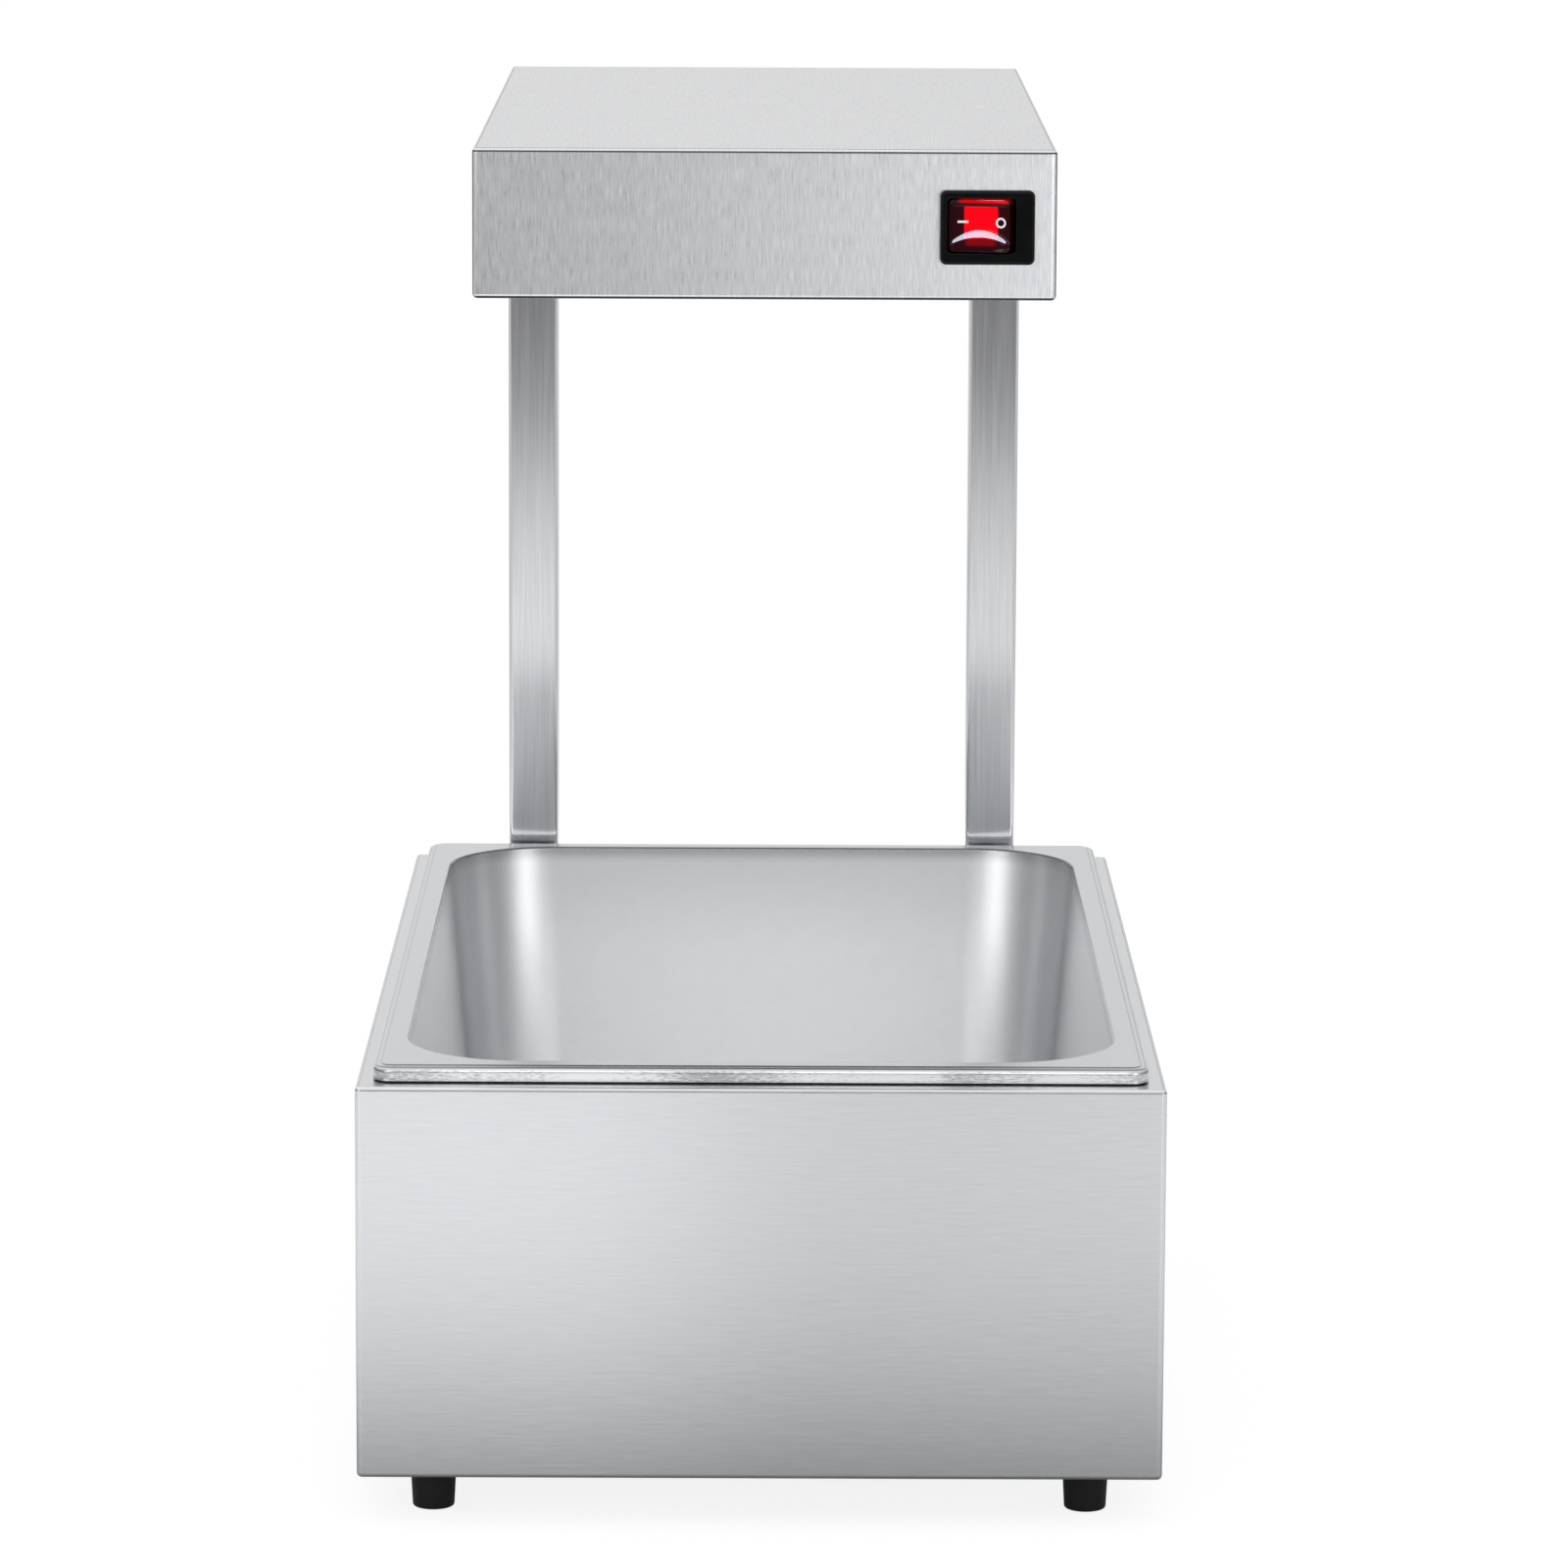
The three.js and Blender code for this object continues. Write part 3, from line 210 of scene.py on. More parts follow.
# Crescent ledge on the rocker: heights of its two edges, their fall at its ends, and how it ends
crescent_top, crescent_top_fall = -0.95, 4.9
crescent_foot, crescent_foot_fall = -5.6, 2.7
crescent_proud, crescent_thins = 1.6, 0.6
crescent_half = 11.8
crescent_ends = (11.0, 12.6)
lip_proud = 0.5
lip_rise = (8.0, 8.8)
ink_root, ink_proud = -0.03, 0.04

# Heaters
tube_radius = 5.5
tube_wall = 1.0
tube_chamfer = 0.2
coil_radius = 3.4
coil_wire = 0.45
coil_pitch = 3.2
coil_end = 1
coil_points = 14


# ---- shapes
# A shape is a pair: points, and faces that name them by number.

def quarter(steps):
    """Sines and cosines at even steps of a quarter turn."""
    angles = [step / steps * QUARTER for step in range(steps + 1)]
    return [(math.sin(angle), math.cos(angle)) for angle in angles]


def ring(half_x, half_y, radius, z, steps=corner_steps):
    """Points round a rectangle with round corners, anticlockwise from above."""
    points = []
    for turn, (side_x, side_y) in enumerate([(1, 1), (-1, 1), (-1, -1), (1, -1)]):
        for step in range(steps + 1):
            angle = (turn + step / steps) * QUARTER
            points.append(Vector((side_x * (half_x - radius) + radius * math.cos(angle),
                                  side_y * (half_y - radius) + radius * math.sin(angle), z)))
    return points


def circle(radius, z, steps=48, wave=None):
    """Points round a circle; wave(angle) adds to the radius."""
    angles = [2 * math.pi * step / steps for step in range(steps)]
    reach = [radius + (wave(angle) if wave else 0) for angle in angles]
    return [Vector((r * math.cos(a), r * math.sin(a), z)) for r, a in zip(reach, angles)]


def loft(rings, loop=False):
    """Skins a stack of rings. It comes back to its first ring, or its ends are capped."""
    count = len(rings[0])
    points = [point for level in rings for point in level]
    faces = []
    for level in range(len(rings) if loop else len(rings) - 1):
        low, high = level * count, (level + 1) % len(rings) * count
        for i in range(count):
            j = (i + 1) % count
            faces.append((low + i, low + j, high + j, high + i))
    if not loop:
        faces.append(tuple(reversed(range(count))))
        faces.append(tuple(range(len(points) - count, len(points))))
    return points, faces


def turned(outline, steps=48):
    """A turned shape about Z from a closed outline of (radius, height) pairs."""
    return loft([circle(radius, z, steps) for radius, z in outline], loop=True)


def together(*shapes):
    points, faces = [], []
    for more_points, more_faces in shapes:
        start = len(points)
        points += more_points
        faces += [tuple(start + i for i in face) for face in more_faces]
    return points, faces


def moved(shape, offset, turn=None):
    points, faces = shape
    matrix = Matrix.Translation(Vector(offset)) @ (turn or Matrix.Identity(4))
    return [matrix @ point for point in points], faces


def rod(points, radius, steps=12):
    """A round wire that follows points."""
    rings = []
    side = None
    for i, point in enumerate(points):
        before, after = points[max(i - 1, 0)], points[min(i + 1, len(points) - 1)]
        ahead = (after - before).normalized()
        if side is None:
            side = ahead.orthogonal()
        side = (side - ahead * side.dot(ahead)).normalized()
        up = ahead.cross(side)
        rings.append([point + radius * (side * math.cos(a) + up * math.sin(a))
                      for a in (2 * math.pi * k / steps for k in range(steps))])
    return loft(rings)


lay_back = Matrix.Rotation(-QUARTER, 4, "X")    # drawn along +Z, laid along +Y
lay_front = Matrix.Rotation(QUARTER, 4, "X")    # drawn along +Z, laid along -Y


def new_object(name, points, faces):
    """A mesh object whose faces all look outwards."""
    mesh = bpy.data.meshes.new(name)
    mesh.from_pydata(points, [], faces)
    build = bmesh.new()
    build.from_mesh(mesh)
    bmesh.ops.recalc_face_normals(build, faces=build.faces)
    build.to_mesh(mesh)
    build.free()
    made = bpy.data.objects.new(name, mesh)
    scene.collection.objects.link(made)
    return made


def piece(name, shape, finish, nodes=(), body="warmer", shift=(0, 0, 0), sharp=32,
          place=None):
    """Makes a shape into an object in metres that rides a body and stands for its nodes."""
    points, faces = shape
    made = new_object(name, [(point + Vector(shift)) * MM for point in points], faces)
    if place:
        made.matrix_world = place
    return dress(made, finish, nodes, body, sharp)


def dress(made, finish, nodes, body, sharp):
    """Gives a piece its finish, its smooth bends and its body."""
    made.data.materials.clear()
    made.data.materials.append(finish)
    made.data.shade_smooth()
    made.data.set_sharp_from_angle(angle=math.radians(sharp))
    bends = made.modifiers.new("even_bends", "WEIGHTED_NORMAL")
    bends.keep_sharp = True
    bends.weight = 100
    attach(made, body)
    if nodes:
        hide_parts(*nodes)
    return made


def pierced(shape, cutters):
    """The shape with the cutters taken out."""
    blank = new_object("blank", *shape)
    punch = new_object("punch", *together(*cutters))
    press = blank.modifiers.new("press", "BOOLEAN")
    press.object = punch
    press.solver = "EXACT"
    depsgraph = bpy.context.evaluated_depsgraph_get()
    result = bpy.data.meshes.new_from_object(blank.evaluated_get(depsgraph))
    cut = ([vertex.co.copy() for vertex in result.vertices],
           [tuple(face.vertices) for face in result.polygons])
    for tool in (blank, punch):
        bpy.data.objects.remove(tool)
    return cut


def smoothed(node, finish, sharp=32, rounder=0):
    """A welded and smooth copy of a node's mesh that stands for it."""
    weld, flat = 0.01 * MM, math.radians(0.3)
    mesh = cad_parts[node].data.copy()
    mesh.name = node + "_smooth"
    build = bmesh.new()
    build.from_mesh(mesh)
    bmesh.ops.remove_doubles(build, verts=build.verts, dist=weld)
    bmesh.ops.dissolve_limit(build, angle_limit=flat, verts=build.verts, edges=build.edges)
    build.to_mesh(mesh)
    build.free()
    made = bpy.data.objects.new(node + "_smooth", mesh)
    scene.collection.objects.link(made)
    if rounder:
        rounding = made.modifiers.new("round_wire", "SUBSURF")
        rounding.levels = rounding.render_levels = rounder
    return dress(made, finish, (node,), "warmer", sharp)


def low_corner(node):
    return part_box(node)[0] / MM


def high_corner(node):
    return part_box(node)[1] / MM


def middle(node):
    low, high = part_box(node)
    return (low + high) / 2 / MM


def foot_of(node):
    """The middle of a node's lower face."""
    at = middle(node)
    at.z = low_corner(node).z
    return at


# ---- finishes

def colour(hex_value):
    """An sRGB hex value as linear RGBA."""
    channels = [int(hex_value[i:i + 2], 16) / 255 for i in (1, 3, 5)]
    linear = [c / 12.92 if c <= 0.04045 else ((c + 0.055) / 1.055) ** 2.4 for c in channels]
    return (*linear, 1.0)


# A Mix node has inputs and a result for each kind of data: their places, and the result's place
mix_places = {"FLOAT": ((0, 2, 3), 0), "VECTOR": ((0, 4, 5), 1), "RGBA": ((0, 6, 7), 2)}
# What the second word of a node's kind sets
mode_names = {"Math": "operation", "VectorMath": "operation", "Mix": "data_type",
              "MapRange": "interpolation_type"}


def mix_of(node):
    return mix_places[node.data_type] if node.bl_idname == "ShaderNodeMix" else (range(8), 0)


def fill(tree, node, *values, **named):
    """Sets or links a node's inputs, in its own order, or by name with _ for a space. A node given
    as a value stands for its first output, or for a Mix node's result."""
    names = [name.replace("_", " ") for name in named]
    for key, value in [*zip(mix_of(node)[0], values), *zip(names, named.values())]:
        if isinstance(value, bpy.types.Node):
            value = value.outputs[mix_of(value)[1]]
        if isinstance(value, bpy.types.NodeSocket):
            tree.links.new(value, node.inputs[key])
        else:
            node.inputs[key].default_value = value


def add(tree, kind, *values, **named):
    """Adds one node, such as "Mix", or "Mix RGBA" with its mode, and fills its inputs. A MapRange
    node's order is value, from low, from high, to low, to high."""
    kind, *modes = kind.split()
    made = tree.nodes.new("ShaderNode" + kind)
    for mode in modes:
        setattr(made, mode_names[kind], mode)
    fill(tree, made, *values, **named)
    return made


def ramp(tree, value, low, high, stops):
    """Tones by value, as (value, tone) pairs between low and high."""
    share = add(tree, "MapRange", value, low, high)
    tones = add(tree, "ValToRGB", share)
    band = tones.color_ramp
    band.interpolation = "EASE"
    while len(band.elements) < len(stops):
        band.elements.new(0.5)
    for element, (at, tone) in zip(band.elements, stops):
        element.position = (at - low) / (high - low)
    for element, (at, tone) in zip(band.elements, stops):
        element.color = (tone, tone, tone, 1)
    return tones


def new_finish(name, **sockets):
    """A material with one Principled shader; gives the material, its tree and the shader."""
    material = bpy.data.materials.new(name)
    material.use_nodes = True
    tree = material.node_tree
    tree.nodes.clear()
    shader = add(tree, "BsdfPrincipled", **sockets)
    add(tree, "OutputMaterial", shader)
    return material, tree, shader


steel_tone = ("#CBCCCF", "#D9DADC")
seen_end_on = 4    # scratches along the depth are seen foreshortened, so they are drawn longer
# Painted shade on the bends: where the normal of a bend leans, by its Z and by its size along X, as
# (value, share) pairs
bend_shade_by_z = [(-1.0, 0), (-0.97, 1), (-0.5, 1), (-0.35, 0), (0.1, 0), (0.2, 1), (0.42, 1),
             (0.55, 0), (0.9, 0), (0.955, 1), (0.985, 1), (1.0, 0)]
bend_shade_by_x = [(0.0, 0), (0.72, 0), (0.85, 1), (0.97, 1), (1.0, 0)]


def brushed_steel(name, grain, side_grain, across, side_across, tone, scratch, streak, sheen,
                  bend_shade=0.0, **sockets):
    """Stainless sheet brushed in one direction before it was folded: fine parallel scratches, a
    soft reflection drawn out across them, and a slightly uneven sheen along them.
    grain and side_grain name the axes that the scratches follow on the front and on the sides.
    scratch and streak are (length, width) in mm; real scratches are 0.1 mm wide, and drawn wider
    to show. bend_shade is the strength of the painted shade, a dark line painted on the bends."""
    material, tree, shader = new_finish(name, Metallic=1.0, **sockets)
    place = add(tree, "TexCoord").outputs["Object"]
    facing = add(tree, "SeparateXYZ", add(tree, "NewGeometry").outputs["Normal"]).outputs
    sideways = add(tree, "Math ABSOLUTE", facing["X"])
    on_side = add(tree, "Math GREATER_THAN", sideways, 0.7)
    layers = []
    for long, wide in (scratch, streak):
        lengths = {"X": long, "Y": seen_end_on * long, "Z": long}
        found = []
        for axes in (grain, side_grain):
            scale = [1 / ((lengths[axis] if axis in axes else wide) * MM) for axis in "XYZ"]
            spread = add(tree, "Mapping", Vector=place, Scale=scale)
            found.append(add(tree, "TexNoise", Vector=spread, Scale=1.0, Detail=1.0, Roughness=0.4))
        layers.append(add(tree, "Mix", on_side, *found))
    both = add(tree, "Mix", 0.2, *layers)
    rough = add(tree, "MapRange", both, 0.3, 0.7, *sheen)
    tint = add(tree, "MapRange", both, 0.3, 0.7)
    shade = add(tree, "Mix RGBA", tint, colour(tone[0]), colour(tone[1]))
    # Painted shade: the bends are painted darker, towards #202123, where their reflections fall
    # dark
    if bend_shade:
        up = ramp(tree, facing["Z"], -1.0, 1.0, bend_shade_by_z)
        side = ramp(tree, sideways, 0.0, 1.0, bend_shade_by_x)
        bend_mask = add(tree, "Math MAXIMUM", up, side)
        painted_bend_shade = add(tree, "Math MULTIPLY", bend_mask, bend_shade)
        shade = add(tree, "Mix RGBA", painted_bend_shade, shade, colour("#202123"))
    dents = add(tree, "Bump", Height=layers[0], Strength=0.05, Distance=0.005 * MM)
    lie = add(tree, "Mix VECTOR", on_side, across, side_across)
    fill(tree, shader, Base_Color=shade, Roughness=rough, Normal=dents, Tangent=lie)
    return material


# Base: the blank was brushed along X, so the scratches climb its sides
base_steel = brushed_steel("stainless_sheet_brushed_base", "X", "Z", (0, 1, 1), (0, 1, 0),
                           ("#CED0D3", "#D6D7D9"), scratch=(15.0, 1.05), streak=(45.0, 2.4),
                           sheen=(0.25, 0.27), bend_shade=0.3, Anisotropic=0.7)
# Head: brushed along its depth, so the scratches stand upright on its front
head_steel = brushed_steel("stainless_sheet_brushed_head", "YZ", "Y", (1, 0, 0), (0, 0, 1),
                           ("#C7C8CB", "#DDDEE0"), scratch=(7.0, 0.7), streak=(26.0, 2.0),
                           sheen=(0.27, 0.31), bend_shade=0.9, Anisotropic=0.85)
# Posts: ground along their length
post_steel = brushed_steel("stainless_tube_brushed_post", "Z", "Z", (1, 1, 0), (0, 1, 0),
                           steel_tone, scratch=(40.0, 0.85), streak=(90.0, 2.0),
                           sheen=(0.19, 0.21), Anisotropic=0.9)
# Plates under the base and head: the same sheet, brushed along X
plate_steel = brushed_steel("stainless_sheet_brushed_plate", "X", "Y", (0, 1, 0), (0, 1, 0),
                            steel_tone, scratch=(20.0, 0.85), streak=(50.0, 2.0),
                            sheen=(0.27, 0.30), Anisotropic=0.85)


def drawn_steel(name):
    """Deep-drawn stainless with a satin finish: a wide soft sheen inside, painted shade on the long
    walls and high on the short ones, a tighter sheen on the flange, and a mill grey outside. The
    rim is rippled and smeared where it was pulled, and the bend at the mouth has a painted dark
    line of shade."""
    ripple, satin, smear_size, blotch_size = 7.0, 1.0, (3, 3, 0.7), 45    # mm
    material, tree, shader = new_finish(name, Metallic=1.0)
    brow = pan_at.z + pan_depth
    place = add(tree, "TexCoord").outputs["Object"]
    height = add(tree, "SeparateXYZ", place).outputs["Z"]
    normal = add(tree, "NewGeometry").outputs["Normal"]
    facing = add(tree, "SeparateXYZ", normal).outputs
    sideways = add(tree, "Math ABSOLUTE", facing["X"])
    end_on = add(tree, "Math ABSOLUTE", facing["Y"])
    upright = add(tree, "MapRange SMOOTHSTEP", facing["Z"], 0.75, 0.3)

    # Flange and rim, by height
    on_rim = add(tree, "MapRange SMOOTHSTEP", height, (brow - 8) * MM, (brow - 0.6) * MM)
    on_edge = add(tree, "MapRange", height, (brow - 7) * MM, (brow - 6.4) * MM)
    # Outside is where the normal leads away from the pan's middle. The floor faces neither in nor
    # out, so its upper face counts as inside and its lower face as outside.
    from_middle = add(tree, "VectorMath SUBTRACT", place, (pan_at.x * MM, pan_at.y * MM, brow * MM))
    flat_way = add(tree, "VectorMath MULTIPLY", from_middle, (1, 1, 0))
    outward = add(tree, "VectorMath DOT_PRODUCT", flat_way, normal)
    faced = add(tree, "Math MULTIPLY_ADD", facing["Z"], -0.03, outward.outputs["Value"])
    outside = add(tree, "Math GREATER_THAN", faced, 0.01)
    inside = add(tree, "Math SUBTRACT", 1.0, outside)
    outer_edge = add(tree, "Math MULTIPLY", on_edge, outside)
    turned_down = add(tree, "Math MULTIPLY", upright, outer_edge)
    below_edge = add(tree, "Math SUBTRACT", 1.0, on_edge)
    outer_wall = add(tree, "Math MULTIPLY", below_edge, outside)

    # Smears and blotches on the turned-down rim
    long_way = add(tree, "Mapping", Vector=place, Scale=[1 / (s * MM) for s in smear_size])
    smear = add(tree, "TexNoise", Vector=long_way, Scale=1.0, Detail=4.0, Roughness=0.7)
    blotch = add(tree, "TexNoise", Vector=place, Scale=1 / (blotch_size * MM), Detail=1.0)
    stained = add(tree, "Math ADD", smear, blotch)
    patch = add(tree, "MapRange", stained, 0.93, 1.2, 0.0, 0.6)
    dulled = add(tree, "Math MULTIPLY", patch, turned_down)

    # Painted shade on the inside walls: over the long walls, and high on the end walls
    long_wall_shade = add(tree, "MapRange SMOOTHSTEP", sideways, 0.4, 0.8, 0.0, 0.45)
    short_wall = add(tree, "MapRange SMOOTHSTEP", sideways, 0.3, 0.02)
    brow_shade = add(tree, "MapRange SMOOTHSTEP", height, (brow - 55) * MM, (brow - 4) * MM, 0.0,
                     0.25)
    end_wall_shade = add(tree, "Math MULTIPLY", short_wall, brow_shade)
    wall_shade = add(tree, "Math MAXIMUM", end_wall_shade, long_wall_shade)
    upright_wall_shade = add(tree, "Math MULTIPLY", wall_shade, upright)
    painted_wall_shade = add(tree, "Math MULTIPLY", upright_wall_shade, inside)

    # Painted shade: a dark line round the mouth's bend, strongest at its ends
    bent = ramp(tree, facing["Z"], 0.0, 1.0, [(0.0, 0), (0.12, 0), (0.25, 1), (0.9, 1), (0.985, 0)])
    at_mouth = add(tree, "MapRange", height, (brow - 1.3) * MM, (brow - 0.9) * MM)
    mouth_end_share = add(tree, "MapRange", end_on, 0.1, 0.4, 0.25, 0.8)
    mouth = add(tree, "Math MULTIPLY", bent, at_mouth)
    painted_mouth_shade = add(tree, "Math MULTIPLY", mouth, mouth_end_share)

    waves = add(tree, "TexNoise", Vector=place, Scale=1 / (ripple * MM), Detail=2.0)
    grit = add(tree, "TexNoise", Vector=place, Scale=1 / (satin * MM), Detail=2.0)
    tone = add(tree, "Mix RGBA", waves, colour("#EAEBEC"), colour("#EFF0F1"))
    # Tones in turn: flange, rim smears, painted wall shade, the outside, painted dark line at the
    # mouth
    for share, shade in ((on_rim, "#CACBCD"), (dulled, "#55575A"), (painted_wall_shade, "#B4B5B8"),
                         (outer_wall, "#96989B"), (painted_mouth_shade, "#3E3F42")):
        tone = add(tree, "Mix RGBA", share, tone, colour(shade))
    spread = add(tree, "MapRange", grit, 0.3, 0.7, 0.31, 0.33)
    rough = add(tree, "Mix", on_rim, spread, 0.27)
    pulled = add(tree, "MapRange", turned_down, 0.0, 1.0, 0.08, 0.8)
    pull = add(tree, "Bump", Height=waves, Strength=pulled, Distance=0.08 * MM)
    fill(tree, shader, Base_Color=tone, Roughness=rough, Normal=pull)
    return material


def grained(name, dark, light, grain, rough, relief, **sockets):
    """Moulded, cast or plated stuff: two near tones, a roughness range and a fine relief of one
    grain size in mm."""
    patch_size = 20 * grain
    material, tree, shader = new_finish(name, **sockets)
    place = add(tree, "TexCoord").outputs["Object"]
    fine = add(tree, "TexNoise", Vector=place, Scale=1 / (grain * MM), Detail=3.0)
    patch = add(tree, "TexNoise", Vector=place, Scale=1 / (patch_size * MM), Detail=2.0)
    shade = add(tree, "Mix RGBA", patch, colour(dark), colour(light))
    sheen = add(tree, "MapRange", patch, 0.3, 0.7, *rough)
    bumps = add(tree, "Bump", Height=fine, Strength=0.5, Distance=relief * MM)
    fill(tree, shader, Base_Color=shade, Roughness=sheen, Normal=bumps)
    return material


pan_at = foot_of("gastronorm_pan")
pan_steel = drawn_steel("stainless_sheet_drawn_satin")
# Bright annealed sheet: a near mirror with faint rolling clouds
reflector_steel = grained("stainless_sheet_bright_annealed", "#DADBDC", "#E4E5E6", 1.2,
                          (0.07, 0.14), 0.01, Metallic=1.0)
# Nickel-plated wire: bright, with drawing lines too fine to see
guard_plating = grained("steel_wire_nickel_plated", "#C4C2BE", "#D2D0CC", 0.3, (0.16, 0.26), 0.01,
                        Metallic=1.0)
# Zinc plating: a cool grey with a slight cloudy sheen
zinc = grained("steel_zinc_plated", "#A9AEB5", "#BCC1C7", 0.25, (0.24, 0.38), 0.01, Metallic=1.0)
# Moulded rubber: matt black with a dusty bloom
foot_rubber = grained("natural_rubber_moulded", "#0B0B0C", "#111112", 0.3, (0.45, 0.62), 0.03,
                      IOR=1.52, Specular_IOR_Level=0.35, Sheen_Weight=0.08, Sheen_Roughness=0.5)
# Glass-filled polyamide: black, with a fine spark-eroded grain
polyamide = grained("polyamide_black_moulded", "#121314", "#1A1B1C", 0.25, (0.36, 0.5), 0.02,
                    IOR=1.53)
# Polyamide of the switch: black and glossier, from a polished mould
switch_black = grained("polyamide_black_glossy", "#08090A", "#0D0E0F", 0.4, (0.16, 0.24), 0.008,
                       IOR=1.53, Specular_IOR_Level=0.12)
# Undyed polyamide: milky cream, light goes a little way in
natural_polyamide = grained("polyamide_natural_moulded", "#D9D5C8", "#E5E1D5", 0.3, (0.38, 0.52),
                            0.02, IOR=1.53, Subsurface_Weight=0.3, Subsurface_Scale=1.5 * MM)
# Steatite: a fired ceramic, cream white and dry
steatite = grained("steatite_fired", "#DCD5C6", "#E9E3D6", 0.2, (0.55, 0.75), 0.03, IOR=1.6)
# Cable sheath: soft black plastic with a satin skin
cable_sheath = grained("pvc_cable_sheath_extruded", "#1C1C1E", "#262628", 0.3, (0.45, 0.6), 0.02,
                       IOR=1.53)
# Silicone sleeve: off-white, waxy
silicone = grained("silicone_sleeve_extruded", "#CFC9BC", "#DCD7CB", 0.3, (0.42, 0.58), 0.02,
                   IOR=1.42, Subsurface_Weight=0.2, Subsurface_Scale=1.0 * MM)
# Resistance wire: iron-chrome with a dull brown-grey oxide
resistance_wire = grained("iron_chrome_wire_oxidised", "#4C4743", "#665F58", 0.2, (0.5, 0.7), 0.01,
                          Metallic=0.8)
# Opaque quartz: milky white from fine bubbles drawn out along the tube
milky_quartz = grained("quartz_glass_milky", "#E6E9E7", "#F1F3F1", 0.5, (0.18, 0.32), 0.02,
                       IOR=1.46, Transmission_Weight=0.45, Subsurface_Weight=0.2,
                       Subsurface_Scale=1.0 * MM)
# White pad-printed marks, slightly raised ink
mark_ink = grained("ink_white_pad_printed", "#F2F2F4", "#FBFBFC", 0.2, (0.4, 0.5), 0.01, IOR=1.5)


# What shines through the rocker: low, high and softness along X, then along Z, and the strength
lit_areas = [((-6.5, 7.5, 0.4), (-5.0, 7.9, 0.5), 1.0),       # window
             ((-8.6, 11.6, 1.8), (9.5, 10.9, 0.4), 0.6),      # top edge
             ((-5.6, 6.8, 1.2), (-8.2, 0.0, 0.8), 0.14),      # under the ledge
             ((-9.5, 11.0, 2.5), (-8.5, 9.5, 2.5), 0.008)]    # halo


def lit_lens():
    """Clear red polycarbonate over a neon lamp: a near-black red gloss where nothing lies behind,
    and a full red window and top edge where the lamp shines through."""
    material, tree, shader = new_finish("polycarbonate_red_polished", Roughness=0.05, IOR=1.585,
                                        Specular_IOR_Level=0.12, Emission_Color=colour("#FB0000"))
    place = add(tree, "TexCoord").outputs["Object"]
    at = add(tree, "SeparateXYZ", place).outputs
    glow = 0.0
    for *spans, strength in lit_areas:
        bands = []
        for axis, (low, high, soft) in zip("XZ", spans):
            rise, fall = (add(tree, "MapRange SMOOTHSTEP", at[axis], (edge - lean) * MM,
                              (edge + lean) * MM)
                          for edge, lean in ((low, soft), (high, -soft)))
            bands.append(add(tree, "Math MULTIPLY", rise, fall))
        area = add(tree, "Math MULTIPLY", *bands)
        shining = add(tree, "Math MULTIPLY", area, strength)
        glow = add(tree, "Math MAXIMUM", glow, shining)
    uneven = add(tree, "TexNoise", Vector=place, Scale=1 / (3 * MM), Detail=1.0)
    patchy = add(tree, "MapRange", uneven, 0.3, 0.7, 0.85, 1.05)
    lamp = add(tree, "Math MULTIPLY", glow, patchy)
    body = add(tree, "Mix RGBA", glow, colour("#0C0102"), colour("#5A0004"))
    fill(tree, shader, Base_Color=body, Emission_Strength=lamp)
    return material


red_lens = lit_lens()


# ---- base

def skin(width, depth, height, set_in):
    """Rings of a folded casing from its lower bend to its upper bend, set in from the outside."""
    bend = edge_bend - set_in
    arc = [(set_in + bend * (1 - sine), set_in + bend * (1 - cosine))
           for sine, cosine in quarter(bend_steps)]
    levels = arc + [(inset, height - rise) for inset, rise in reversed(arc)]
    return [ring(width / 2 - inset, depth / 2 - inset, corner_bend - inset, z)
            for inset, z in levels]


def casing_mouth(width, depth, lip):
    """The edge of the return under a casing: its lower and its upper ring."""
    return [ring(width / 2 - lip, depth / 2 - lip, corner_bend, z) for z in (0, sheet)]


def base_casing():
    mouth = casing_mouth(base_width, base_depth, base_return)
    brow = base_height + upstand_height
    profile = [(sheet + upstand_foot * (1 - sine), base_height + upstand_foot * (1 - cosine))
               for sine, cosine in quarter(4)]
    profile += [(sheet, brow - upstand_brow), (sheet - upstand_brow, brow), (upstand_brow, brow),
                (0, brow - upstand_brow), (0, base_height - sheet)]
    upstand = [ring(well_width / 2 + out, well_length / 2 + out, well_corner + out, z)
               for out, z in profile]
    return loft([mouth[0], *skin(base_width, base_depth, base_height, 0), *upstand,
                 *reversed(skin(base_width, base_depth, base_height, sheet)), mouth[1]], loop=True)


base_at = foot_of("base_casing")
piece("base_shell", base_casing(), base_steel, ["base_casing"], shift=base_at)


def slot_cutter(x, y, z, upright):
    """A slot with round ends along X, through a sheet."""
    radius = vent_width / 2
    shape = loft([ring(vent_length / 2, radius, radius - 0.001, level, 12)
                  for level in (-punch_reach, punch_reach)])
    return moved(shape, (x, y, z), lay_front if upright else None)


def sheet_plate(width, depth, low):
    """A plate that closes a casing from below."""
    inset = 2 * (sheet + plate_clearance)
    return loft([ring((width - inset) / 2, (depth - inset) / 2, corner_bend, z, small_steps)
                 for z in (low, low + sheet)])


plate_low = sheet + seat_gap
base_vents = [slot_cutter((column - 0.5) * (vent_length + vent_pitch), (row - 1.5) * vent_pitch,
                          plate_low, False)
              for row in range(4) for column in range(2)]
piece("base_floor_plate", pierced(sheet_plate(base_width, base_depth, plate_low), base_vents),
      plate_steel, ["base_bottom_plate"], shift=base_at)


# ---- fasteners

def clamped(share):
    return max(0.0, min(1.0, share))


